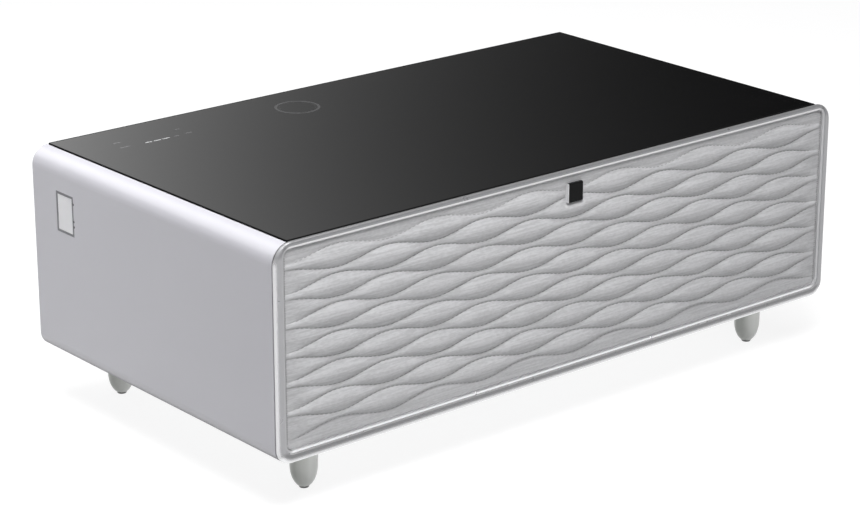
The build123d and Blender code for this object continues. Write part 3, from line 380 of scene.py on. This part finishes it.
# Deck under the glass.
# Black moisture-proof board with a fine pressed grain, drawn out along the table.
board_black, wire, shader = finish("deck_board", (0.03, 0.03, 0.032), 0.6)
grain = spread(wire, 40.0, 6.0, (1, 8, 8))
vary(wire, shader, "Base Color", grain.blend((0.022, 0.022, 0.024), (0.05, 0.05, 0.052)))
emboss(wire, shader, spread(wire, 700.0, 2.0), 0.00015, 0.5)
dress(board_black, "top_deck")

# Glass top.
# Tempered glass, printed black underneath, with edges that are ground and so dull. The ground
# band is narrow at the ends and wider at the front and the back, where its dull black is also
# painted shade along the edge.
glass_low, glass_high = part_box("glass_top")
ground_ends, ground_shade_sides, ground_step = 0.0020, 0.0042, 0.0008
black_glass, wire = empty_material("black_glass")
gloss_look = {
    "Base Color": rgba((0.002, 0.002, 0.0022)),
    "IOR": 1.52,
    "Roughness": spread(wire, 9.0, 4.0) * 0.04 + 0.04,
}
ground_look = {
    "Base Color": rgba((0.004, 0.004, 0.004)),
    "Specular IOR Level": 0.03,
    "Roughness": spread(wire, 300.0) * 0.2 + 0.6,
}
gloss_face = wire.add("ShaderNodeBsdfPrincipled", {}, gloss_look)
ground_edge = wire.add("ShaderNodeBsdfPrincipled", {}, ground_look)
glass_middle, glass_half = (glass_low.y + glass_high.y) / 2, (glass_high.y - glass_low.y) / 2
past_end = abs(axis(wire, "X")) - (glass_high.x - ground_ends)
past_side = abs(axis(wire, "Y") - glass_middle) - (glass_half - ground_shade_sides)
# Painted shade: the wider band at the front and the back is dark and dull.
ground = ramp(past_end.larger(past_side), 0.0, ground_step, "LINEAR")
surface(wire, ground.between(gloss_face, ground_edge))
dress(black_glass, "glass_top")

# Marks on the glass: the ring that shows where a phone charges, and the touch marks.
# Printed on the underside in grey; drawn here as a film of print on the glass.
film = 0.00005
print_z = glass_high.z + film
coil_low, coil_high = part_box("charging_coil")
ring_middle = ((coil_low.x + coil_high.x) / 2, (coil_low.y + coil_high.y) / 2)
# The radius of each ring to the middle of its line, and the line's width.
ring_lines = ((0.0402, 0.0052), (0.0340, 0.0006))
ring_sides = 96
dash_width = 0.0034
# The place and length of each dim dash.
dashes = (
    (-0.525, 0.276, 0.018),
    (-0.527, 0.246, 0.022),
    (-0.393, 0.278, 0.011),
    (-0.417, 0.245, 0.010),
    (-0.389, 0.247, 0.015),
)
bright_columns, bright_y = (-0.4780, -0.4595, -0.4410), 0.244
bright_length, bright_width = 0.0165, 0.0050
round_steps = 6
# Where the print turns bright, as a distance from the middle of the bright marks, and where it
# turns to the ring's darker grey, both in metres along the table.
bright_middle, bright_reach = -0.46, (0.0295, 0.0285)
ring_from = (-0.30, -0.28)
bm = bmesh.new()


def printed_dash(bm, x, y, length, width):
    """One printed bar with rounded ends."""
    half = width / 2
    turns = [math.pi * step / round_steps for step in range(round_steps + 1)]
    arc = [(half * math.sin(turn), half * math.cos(turn)) for turn in turns]
    right = [(x + length / 2 - half + a, y + b) for a, b in arc]
    left = [(x - length / 2 + half - a, y - b) for a, b in arc]
    bm.faces.new([bm.verts.new((a, b, print_z)) for a, b in reversed(right + left)])


def circle(bm, middle, radius, height, sides):
    """New vertices in a level circle."""
    turns = [2 * math.pi * step / sides for step in range(sides)]
    spots = [(middle[0] + radius * math.cos(a), middle[1] + radius * math.sin(a), height) for a in turns]
    return [bm.verts.new(spot) for spot in spots]


def strip(bm, near, far):
    """Faces between two circles of vertices."""
    for here in range(len(near)):
        after = (here + 1) % len(near)
        bm.faces.new((near[here], near[after], far[after], far[here]))


for radius, width in ring_lines:
    inner = circle(bm, ring_middle, radius - width / 2, print_z, ring_sides)
    outer = circle(bm, ring_middle, radius + width / 2, print_z, ring_sides)
    strip(bm, outer, inner)
for x, y, length in dashes:
    printed_dash(bm, x, y, length, dash_width)
for x in bright_columns:
    printed_dash(bm, x, bright_y, bright_length, bright_width)

print_grey, wire, shader = finish("print_grey", (0.05, 0.05, 0.05), 0.1)
ink = spread(wire, 1500.0, 2.0)
at_bright = ramp(abs(axis(wire, "X") - bright_middle), *bright_reach, "LINEAR")
at_ring = ramp(axis(wire, "X"), *ring_from, "LINEAR")
dim_ink = ink.blend((0.07, 0.07, 0.072), (0.11, 0.11, 0.113))
ring_ink = ink.blend((0.036, 0.036, 0.037), (0.052, 0.052, 0.053))
bright_ink = ink.blend((0.28, 0.28, 0.285), (0.36, 0.36, 0.365))
vary(wire, shader, "Base Color", at_bright.blend(at_ring.blend(dim_ink, ring_ink), bright_ink))
new_object("glass_print", mesh_of("glass_print", bm), "cabinet", print_grey, smooth=False)

# Drawer front frame.
# Injection-moulded, sprayed satin grey. A painted highlight on the more metallic outer edge makes
# it bright along the left end and the bottom, with a fainter line at the lip; painted light lifts
# the grey near both ends, painted shade darkens the top corners and the bottom rail, and a
# painted shadow lines the turned-in rear edge.
low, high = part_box("front_frame")
frame_corner = 0.030
# Where each zone of painted highlight and shade starts and where it is full, in metres: first by
# the depth from the outer edge, then by the distance from an end, the bottom, the top or the back.
left_edge, left_part, below_top = (0.0050, 0.0008), (0.080, 0.020), (0.020, 0.040)
low_edge, low_part = (0.0112, 0.0020), (0.024, 0.010)
lip_edge, lip_part = (0.0152, 0.0158), (0.024, 0.020)
corner_part, near_top = (0.003, 0.010), (0.050, 0.030)
end_part, low_rail_shade, rear_edge_shadow = (0.022, 0.012), (0.024, 0.016), (0.0030, 0.0005)
# How fully a zone shows.
left_highlight_share, lip_highlight_share, corner_shade_share, end_light_share = 0.66, 0.3, 0.6, 0.4
frame_silver, wire, shader = finish(
    "frame_silver", (0.3, 0.3, 0.31), 0.3, metal=0.6, coat=0.3, Coat_Roughness=0.1
)
along, forth, up = axis(wire, "X"), axis(wire, "Y"), axis(wire, "Z")
from_left, from_end, from_rear = along - low.x, high.x - abs(along), high.y - forth
from_low, from_top = up - low.z, high.z - up
over_x = frame_corner - from_end
over_z = abs(up - (low.z + high.z) / 2) - ((high.z - low.z) / 2 - frame_corner)
round_x, round_z = over_x.larger(0.0), over_z.larger(0.0)
inside = over_x.larger(over_z).smaller(0.0)
depth = frame_corner - inside - (round_x * round_x + round_z * round_z) ** 0.5
# Painted highlight on the outer edge: along the left end, along the bottom and at the lip.
at_left = ramp(depth, *left_edge) * ramp(from_left, *left_part) * ramp(from_top, *below_top)
low_highlight = ramp(depth, *low_edge) * ramp(from_low, *low_part)
lip_highlight = ramp(depth, *lip_edge) * ramp(from_low, *lip_part)
edge_highlight = (at_left * left_highlight_share).larger(low_highlight.larger(lip_highlight * lip_highlight_share))
# Painted shade at the top corners and on the bottom rail, painted light near both ends, and a painted
# shadow at the turned-in rear edge.
corner_shade = ramp(round_x.smaller(round_z), *corner_part) * ramp(from_top, *near_top)
satin = spread(wire, 400.0, 2.0).blend((0.26, 0.26, 0.267), (0.34, 0.34, 0.35))
satin = (corner_shade * corner_shade_share).blend(satin, (0.16, 0.16, 0.165))
satin = (ramp(from_end, *end_part) * end_light_share).blend(satin, (0.50, 0.50, 0.515))
satin = ramp(from_low, *low_rail_shade).blend(satin, (0.215, 0.215, 0.22))
satin = ramp(from_rear, *rear_edge_shadow).blend(satin, (0.05, 0.05, 0.05))
vary(wire, shader, "Base Color", edge_highlight.blend(satin, (0.80, 0.80, 0.81)))
vary(wire, shader, "Metallic", edge_highlight * 0.35 + 0.6)
vary(wire, shader, "Roughness", spread(wire, 25.0) * 0.1 + 0.24 - edge_highlight * 0.08 + corner_shade * 0.3)
dress(frame_silver, "front_frame")

# Bright bead inside the frame, with the two short sleeves that join its lengths at the bottom.
# A plated plastic moulding pressed into the frame's opening. Painted shade darkens both ends,
# the left one more, and a painted highlight brightens the lowest part of its bottom run. The
# sleeves are polished metal.
bead_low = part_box("trim_bead")[0]
bead_end_start, bead_end = 0.618, 0.630
low_face_highlight = (0.0052, 0.0040)
bright_bead, wire, shader = finish("bright_bead", (0.78, 0.78, 0.79), 0.2, metal=0.9)
along, up = axis(wire, "X"), axis(wire, "Z")
# Painted shade at both ends of the bead, and a painted highlight on its lowest part.
at_left = ramp(along, -bead_end_start, -bead_end)
at_right = ramp(along, bead_end_start, bead_end)
gloss = spread(wire, 12.0).blend((0.66, 0.66, 0.67), (0.78, 0.78, 0.79))
gloss = ramp(up - bead_low.z, *low_face_highlight).blend(gloss, (0.88, 0.88, 0.89))
vary(wire, shader, "Base Color", (at_left + at_right * 0.5).blend(gloss, (0.40, 0.40, 0.41)))
vary(wire, shader, "Metallic", 0.9 - at_right * 0.6)
vary(wire, shader, "Roughness", spread(wire, 30.0) * 0.1 + 0.30)
dress(bright_bead, "trim_bead")

sleeve_columns = (-0.226, 0.194)
sleeve_size = (0.0036, 0.0032, 0.0052)
sleeve_inset, sleeve_rise = 0.0012, 0.0022
sleeve_round = 0.0006
bm = bmesh.new()
for x in sleeve_columns:
    middle = Matrix.Translation((x, bead_low.y + sleeve_inset, bead_low.z + sleeve_rise))
    shape = middle @ Matrix.Diagonal((*sleeve_size, 1))
    sleeve = bmesh.ops.create_cube(bm, size=1.0, matrix=shape)["verts"]
    edges = list(dict.fromkeys(edge for vert in sleeve for edge in vert.link_edges))
    bmesh.ops.bevel(bm, geom=edges, offset=sleeve_round, segments=2, affect="EDGES")
polished, wire, shader = finish("polished_sleeve", (0.95, 0.95, 0.95), 0.12, metal=1.0)
vary(wire, shader, "Roughness", spread(wire, 200.0) * 0.08 + 0.08)
new_object("bead_sleeves", mesh_of("bead_sleeves", bm), "drawer", polished)

# Quilted panel: twelve rows of stitched, padded lenses on a flat border.
# Silver-grey leathercloth over foam; each row is half a wave out of step with the next.
low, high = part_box("quilted_panel")
quilt_back = high.y
quilt_base = -0.354
quilt_half = high.x
quilt_low, quilt_high = low.z, high.z
quilt_corner = 0.0132
quilt_rows = 12
quilt_wave = 0.2086
quilt_pitch = 0.02525
quilt_swing = 0.0076
quilt_top = glass_high.z - 0.0439
quilt_reach = 3 * quilt_wave
# How far a roll stands out for its height, the length over which the short rows fade out, how
# much less it stands out at its top, and its unevenness: size, pace along it and shift by row.
roll_swell, roll_fade, roll_slump = 0.162, 0.066, 0.22
roll_uneven, uneven_waves = 0.25, ((0.16, 37.0, 2.4), (0.08, 91.0, -1.7))
border_puff, puff_curve = 0.0010, 0.6
seam_sink, last_seam_sink = 0.0002, 0.0004
end_flat, end_slope = 0.0045, 0.003
badge_slope = 0.009
row_steps = 14
border_steps = 6
column_step = 0.0035


def seam(row, x):
    """The height of the stitched seam above a row; the one below the last row has number 12."""
    phase = 1 if row % 2 else -1
    swell = np.cos(2 * np.pi * x / quilt_wave)
    return quilt_top - (row - 0.5) * quilt_pitch + phase * quilt_swing * swell


def border_rise(x):
    """How far the panel's straight edges draw in over its rounded corners."""
    past = np.maximum(np.abs(x) - (quilt_half - quilt_corner), 0)
    return quilt_corner - np.sqrt(np.maximum(quilt_corner**2 - past**2, 0))


def soft_step(value):
    """A rise from 0 to 1 with a soft start and end."""
    share = np.clip(value, 0, 1)
    return share * share * (3 - 2 * share)


def roll_relief(row, x, across):
    """How far a roll stands out at a share of its half width from its middle, in metres."""
    height = roll_swell * (seam(row, x) - seam(row + 1, x))
    if row % 2:
        height = height * soft_step((quilt_reach - np.abs(x)) / roll_fade)
    uneven = sum(size * np.sin(pace * x + shift * row) for size, pace, shift in uneven_waves)
    return height * (1 + roll_uneven * uneven) * (1 - roll_slump * across) * (1 - across**2)


columns = np.linspace(-quilt_half, quilt_half, int(2 * quilt_half / column_step) + 1)
edge_high = quilt_high - border_rise(columns)
edge_low = quilt_low + border_rise(columns)
# Each line also carries a share of painted shade, darkest along the seams and over the lower side of each
# roll.
lines_z, lines_y, lines_groove_shade = [], [], []


def add_line(z, y, crease):
    """One line of the cover's grid, from end to end of the panel."""
    lines_z.append(z)
    lines_y.append(np.zeros_like(columns) + y)
    lines_groove_shade.append(np.zeros_like(columns) + crease)


for step in range(border_steps + 1):
    share = step / (border_steps + 1)
    puff = math.sin(math.pi * share) ** puff_curve if step else 0
    line_z = edge_high + (seam(0, columns) - edge_high) * share
    add_line(line_z, quilt_base - border_puff * puff, 0.25 * share**6)
for row in range(quilt_rows):
    upper, lower = seam(row, columns), seam(row + 1, columns)
    for step in range(row_steps):
        across = math.cos(math.pi * step / row_steps)
        line_z = (upper + lower) / 2 + (upper - lower) / 2 * across
        line_y = quilt_base + seam_sink * (step == 0) - roll_relief(row, columns, across)
        add_line(line_z, line_y, abs(across) ** 3 if across < 0 else 0.6 * across**40)
for step in range(border_steps + 2):
    share = step / (border_steps + 1)
    puff = math.sin(math.pi * share) ** puff_curve if 0 < step <= border_steps else 0
    line_z = seam(quilt_rows, columns) + (edge_low - seam(quilt_rows, columns)) * share
    line_y = quilt_base + last_seam_sink * (step == 0) - border_puff * puff
    add_line(line_z, line_y, float(step == 0))

# The relief sinks to the flat base at both ends and round the badge plate.
grid_z, grid_y = np.array(lines_z), np.array(lines_y)
badge_low, badge_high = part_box("badge_plate")
badge_half, badge_z = badge_high.x, (badge_low.z + badge_high.z) / 2
from_badge = np.maximum(np.abs(columns)[None, :] - badge_half, np.abs(grid_z - badge_z) - badge_half)
full_ends = np.clip((quilt_half - end_flat - np.abs(columns)) / end_slope, 0, 1)
grid_y = quilt_base + (grid_y - quilt_base) * soft_step(from_badge / badge_slope) * full_ends[None, :]

# The grid is the front of a closed cover: its rim goes straight back to a flat rear face.
count_lines, count_columns = grid_z.shape
front = [
    (columns[column], grid_y[line, column], grid_z[line, column])
    for line in range(count_lines)
    for column in range(count_columns)
]
faces = []
for line in range(count_lines - 1):
    for column in range(count_columns - 1):
        corner = line * count_columns + column
        faces.append((corner, corner + 1, corner + 1 + count_columns, corner + count_columns))
rim = list(range(count_columns))
rim += [line * count_columns + count_columns - 1 for line in range(1, count_lines)]
rim += [(count_lines - 1) * count_columns + column for column in range(count_columns - 2, -1, -1)]
rim += [line * count_columns for line in range(count_lines - 2, 0, -1)]
rim_back = {vert: len(front) + place for place, vert in enumerate(rim)}
verts = front + [(front[vert][0], quilt_back, front[vert][2]) for vert in rim]
for vert, after in zip(rim, rim[1:] + rim[:1]):
    faces.append((after, vert, rim_back[vert], rim_back[after]))
faces.append(tuple(rim_back[vert] for vert in rim))
mesh = bpy.data.meshes.new("quilted_cover")
mesh.from_pydata(verts, [], faces)
crease = mesh.attributes.new("crease", "FLOAT", "POINT")
groove_shade_values = np.concatenate([np.array(lines_groove_shade).ravel(), np.zeros(len(rim))])
crease.data.foreach_set("value", groove_shade_values.astype(np.float32))

leather, wire, shader = finish(
    "quilted_leathercloth", (0.5, 0.5, 0.5), 0.5, Sheen_Weight=0.2, Sheen_Roughness=0.4
)


def threads(wire, direction, scale, distortion):
    """Fine ridges of thread that follow each other along an axis."""
    settings = {"wave_type": "BANDS", "bands_direction": direction}
    place = wire.add("ShaderNodeTexCoord", {}, {}, "Object")
    inputs = {"Vector": place, "Scale": scale, "Distortion": distortion, "Detail": 1.0}
    return wire.add("ShaderNodeTexWave", settings, inputs, "Fac")


cloth = threads(wire, "Z", 262.0, 1.2) * 0.6 + threads(wire, "X", 224.0, 1.0) * 0.4
fibre = spread(wire, 1.0, 1.0, (9, 270, 280))
slub = spread(wire, 1.0, 1.0, (120, 400, 400))
weave = ramp(fibre * 0.6 + slub * 0.4, 0.34, 0.66)
broad = spread(wire, 11.0, 2.0)
# Painted shade from the groove attribute darkens the seams and the lower side of each roll.
groove_shade_share = wire.add("ShaderNodeAttribute", {"attribute_name": "crease"}, {}, "Fac")
tone = weave * 0.5 + cloth * 0.25 + broad * 0.25
pale = tone.blend((0.465, 0.465, 0.472), (0.73, 0.73, 0.74))
vary(wire, shader, "Base Color", (groove_shade_share * 0.14).blend(pale, (0.30, 0.30, 0.305)))
vary(wire, shader, "Roughness", weave * 0.25 + 0.38)
emboss(wire, shader, cloth * 0.65 + fibre * 0.6, 0.0003, 0.7)
quilt = new_object("quilted_cover", mesh, "drawer", leather)
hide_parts("quilted_panel")

# Stitching of the quilted panel: a row of stitches in every seam and one down each end.
# Grey thread, pulled down into the grooves; it stops short of the badge plate.
seam_end, seam_step = 0.604, 0.0094
seam_stitch, seam_stand = (0.0052, 0.0010), 0.0003
end_column, end_margin, end_step = 0.6283, 0.012, 0.0042
end_stitch, end_stand = (0.0024, 0.0014), 0.0008
badge_margin = 0.004
stitch_crown, stitch_shoulder = 0.0005, 0.6
slope_reach = 0.001
bm = bmesh.new()


def stitch(bm, middle, direction, length, width):
    """One stitch: a short bar with a raised middle line and sloping ends."""
    along = direction.normalized() * (length / 2)
    side = direction.normalized().cross(Vector((0, 1, 0))) * (width / 2)
    crown = Vector((0, -stitch_crown, 0))
    rows = []
    for share, lift in ((-1, 0), (-stitch_shoulder, 1), (stitch_shoulder, 1), (1, 0)):
        place = middle + along * share
        rows.append([bm.verts.new(spot) for spot in (place - side, place + crown * lift, place + side)])
    for near, far in zip(rows, rows[1:]):
        bm.faces.new((near[0], near[1], far[1], far[0]))
        bm.faces.new((near[1], near[2], far[2], far[1]))


for row in range(quilt_rows + 1):
    x = -seam_end
    while x < seam_end:
        z = float(seam(row, x))
        slope = float(seam(row, x + slope_reach)) - float(seam(row, x - slope_reach))
        beside_badge = abs(x) > badge_high.x + badge_margin
        if beside_badge or not badge_low.z - badge_margin < z < badge_high.z + badge_margin:
            middle = Vector((x, quilt_base - seam_stand, z))
            stitch(bm, middle, Vector((2 * slope_reach, 0, slope)), *seam_stitch)
        x += seam_step
for side in (-1, 1):
    z = quilt_low + end_margin
    while z < quilt_high - end_margin:
        middle = Vector((side * end_column, quilt_base - end_stand, z))
        stitch(bm, middle, Vector((0, 0, 1)), *end_stitch)
        z += end_step
thread_grey, wire, shader = finish("stitch_thread", (0.10, 0.10, 0.105), 0.7)
vary(wire, shader, "Base Color", spread(wire, 500.0).blend((0.28, 0.28, 0.285), (0.40, 0.40, 0.405)))
new_object("quilt_stitches", mesh_of("quilt_stitches", bm), "drawer", thread_grey)

# Badge plate.
# A small square plate with a gloss black face on a silver body, left bare.
side_start, side_full = badge_half - 0.0012, badge_half - 0.0009
badge_black, wire, shader = finish("badge_black", (0.006, 0.006, 0.006), 0.2, Specular_IOR_Level=0.08)
at_side = ramp(abs(axis(wire, "X")), side_start, side_full)
vary(wire, shader, "Base Color", at_side.blend((0.006, 0.006, 0.006), (0.68, 0.68, 0.69)))
vary(wire, shader, "Roughness", spread(wire, 300.0) * 0.12 + 0.14)
dress(badge_black, "badge_plate")


# Socket module on the left end: flush frame, blank flap on its pin, and the knuckles of the pin.
# Moulded plastic; the flap is pale, the frame mid grey and the knuckles nearly black.
def grained(name, colour, rough, patches, grain, height, strength):
    """A moulded finish: uneven colour, and a fine grain of this height in metres."""
    made, wire, shader = finish(name, colour, rough)
    mottle(wire, shader, *patches)
    emboss(wire, shader, spread(wire, *grain), height, strength)
    return made


module_grey = grained("module_grey", (0.20, 0.20, 0.215), 0.42, (160.0, 0.12), (1800.0, 1.0), 0.00004, 0.5)
flap_white = grained("flap_white", (0.975, 0.975, 1.0), 0.3, (60.0, 0.02), (1500.0, 1.0), 0.00003, 0.4)
dress(module_grey, "socket_frame")
dress(flap_white, "socket_flap")

low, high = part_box("socket_frame")
knuckle_heights = (0.20, 0.60, 0.72)
knuckle_radius, knuckle_shape = 0.0018, (0.35, 1.0, 1.3)
knuckle_stand, knuckle_inset = 0.0001, 0.0021
bm = bmesh.new()
for share in knuckle_heights:
    place = (low.x - knuckle_stand, low.y + knuckle_inset, high.z + (low.z - high.z) * share)
    shape = Matrix.Translation(place) @ Matrix.Diagonal((*knuckle_shape, 1))
    bmesh.ops.create_uvsphere(bm, u_segments=16, v_segments=10, radius=knuckle_radius, matrix=shape)
knuckle_grey = rubbed(
    "knuckle_grey", (0.06, 0.06, 0.065), 0.5, patches=(400.0, 0.20), rub=(700.0,), gloss=(0.2, 0.4)
)
new_object("flap_knuckles", mesh_of("flap_knuckles", bm), "cabinet", knuckle_grey)


# Feet, with their pads.
# Turned bullets in grey satin lacquer, each on the stud that screws into the cabinet. Painted
# shade darkens each foot's back-left side and painted light lifts its front-right side, with a
# painted highlight as a pale rim at the back-left edge.
def lathe(bm, profile, middle, sides):
    """Turns a list of radius and height round the vertical through the middle."""
    rings = [circle(bm, middle, radius, height, sides) for radius, height in profile]
    for near, far in zip(rings, rings[1:]):
        strip(bm, near, far)
    bm.faces.new(list(reversed(rings[0])))
    bm.faces.new(rings[-1])


low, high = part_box("feet")
foot_top, foot_waist, nose, pad_height = 0.025, 0.0244, 0.046, 0.0025
foot_height, foot_chamfer = 0.093, 0.0004
stud_radius, stud_fillet = 0.005, 0.0002
nose_steps, foot_sides = 14, 56
# How closely the lines follow each other near the tip, and how full the nose is.
nose_spacing, nose_curve = 1.5, 2.3
# From the foot's back-left side to its front-right side, as a direction, and where the painted
# shade and light change along it, from -1 at the back-left side to 1 at the front-right side.
rightward = (0.767, -0.642)
shade_to_light, rim_highlight = (-0.75, 0.75), (-0.84, -0.97)
shares = [(step / nose_steps) ** nose_spacing for step in range(nose_steps + 1)]
heights = [pad_height + (nose - pad_height) * share for share in shares]
foot_profile = [(foot_waist * math.sqrt(1 - ((nose - z) / nose) ** nose_curve), z) for z in heights]
foot_profile += [
    (foot_top, foot_height - foot_chamfer),
    (foot_top - foot_chamfer, foot_height),
    (stud_radius + stud_fillet, foot_height),
    (stud_radius, foot_height + foot_chamfer),
    (stud_radius, high.z),
]
bm = bmesh.new()
for x in (low.x + foot_top, high.x - foot_top):
    for y in (low.y + foot_top, high.y - foot_top):
        lathe(bm, foot_profile, (x, y), foot_sides)
mesh = mesh_of("turned_feet", bm)
mesh.polygons.foreach_set("use_smooth", [len(face.vertices) == 4 for face in mesh.polygons])
foot_lacquer, wire, shader = finish("foot_lacquer", (0.52, 0.535, 0.51), 0.3, metal=0.45, coat=0.3)
across, forth = axis(wire, "X"), axis(wire, "Y")
across = across - across.math("SIGN", across) * (high.x - foot_top)
forth = forth - forth.math("SIGN", forth) * (high.y - foot_top)
aside = (across * rightward[0] + forth * rightward[1]) / foot_top
# Painted shade on the back-left side, painted light on the front-right side, and a painted highlight at the
# back-left rim.
tone = spread(wire, 1.0, 1.0, (80, 80, 4)) * 0.3 + ramp(aside, *shade_to_light) * 0.7
tone = tone.larger(ramp(aside, *rim_highlight))
vary(wire, shader, "Base Color", tone.blend((0.30, 0.31, 0.29), (0.68, 0.69, 0.67)))
vary(wire, shader, "Roughness", spread(wire, 90.0) * 0.1 + 0.26)
turned = new_object("turned_feet", mesh, "cabinet", foot_lacquer, smooth=False)
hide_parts("feet")
pad_grey, wire, shader = finish("pad_grey", (0.6, 0.6, 0.59), 0.75)
vary(wire, shader, "Base Color", spread(wire, 700.0).blend((0.52, 0.52, 0.51), (0.66, 0.66, 0.65)))
dress(pad_grey, "foot_pads")

# Food space: liner, inner door, tub and dividers, with gasket, lamp strip and foam.
# Thermoformed and moulded white plastic with a light satin, a soft grey seal, and cream foam.
food_white = grained("food_white", (0.82, 0.83, 0.84), 0.35, (14.0, 0.04), (500.0, 1.0), 0.00005, 0.4)
gasket_grey = grained("gasket_grey", (0.36, 0.36, 0.37), 0.6, (45.0, 0.12), (600.0, 2.0), 0.00008, 0.5)
foam_cream = grained("foam_cream", (0.78, 0.70, 0.42), 0.9, (55.0, 0.14), (1200.0, 3.0), 0.0003, 0.8)
lamp_white, wire, shader = finish("lamp_white", (0.92, 0.92, 0.88), 0.5, Emission_Strength=0.35)
vary(wire, shader, "Emission Color", spread(wire, 40.0).blend((1, 0.97, 0.9), (1, 1, 0.96)))
dress(food_white, "liner", "inner_door", "drawer_tub", "tub_dividers", "temperature_sensor")
dress(gasket_grey, "gasket")
dress(foam_cream, "insulation_foam")
dress(lamp_white, "lamp_strip")

# Telescopic slides and their ball retainers.
# Zinc-plated steel rails, drawn lengthwise, with moulded retainers; the flap's pin is zinc too.
zinc = rubbed(
    "zinc_plate", (0.66, 0.67, 0.69), 0.28,
    patches=(30.0, 0.07), rub=(40.0, 3.0, (1, 0.05, 1)), gloss=(0.15, 0.22), metal=1.0,
)
retainer = grained("retainer_plastic", (0.25, 0.25, 0.26), 0.5, (120.0, 0.15), (800.0,), 0.00005, 0.4)
dress(zinc, "slide_outer_rails", "slide_middle_rails", "slide_inner_rails", "flap_pin")
dress(retainer, "slide_cages_outer", "slide_cages_inner")

# Cooling circuit: compressor on rubber grommets, condenser, fan, tubes and evaporator plate.
# Black-lacquered steel, bare aluminium, moulded black plastic and drawn copper.
rubber = grained("black_rubber", (0.02, 0.02, 0.02), 0.75, (150.0, 0.35), (900.0, 2.0), 0.0001, 0.6)
moulded_black = grained(
    "moulded_black", (0.022, 0.022, 0.023), 0.5, (90.0, 0.35), (1400.0, 1.0), 0.00005, 0.5
)
lacquer_black = rubbed(
    "lacquer_black", (0.015, 0.015, 0.016), 0.35,
    patches=(25.0, 0.30), rub=(120.0,), gloss=(0.15, 0.28), coat=0.4,
)
aluminium = rubbed(
    "bare_aluminium", (0.74, 0.75, 0.76), 0.35,
    patches=(70.0, 0.07), rub=(200.0,), gloss=(0.2, 0.25), metal=1.0,
)
copper, wire, shader = finish("drawn_copper", (0.80, 0.42, 0.26), 0.3, metal=1.0)
vary(wire, shader, "Base Color", spread(wire, 60.0).blend((0.72, 0.34, 0.2), (0.88, 0.5, 0.33)))
dress(rubber, "compressor_grommets")
dress(lacquer_black, "compressor")
dress(aluminium, "condenser", "evaporator_plate")
dress(moulded_black, "fan_frame", "fan_rotor", "power_inlet", "socket_insert")
dress(copper, "refrigerant_tubes", "dryer_filter", "charging_coil")

# Electrics: power supply, control board and touch board.
# A folded steel case, and glass-fibre boards with green resist.
board_green, wire, shader = finish("board_green", (0.02, 0.14, 0.05), 0.4, coat=0.3)
vary(wire, shader, "Base Color", spread(wire, 150.0, 4.0).blend((0.015, 0.11, 0.04), (0.03, 0.19, 0.07)))
dress(galvanised, "power_supply")
dress(board_green, "control_board", "touch_board")
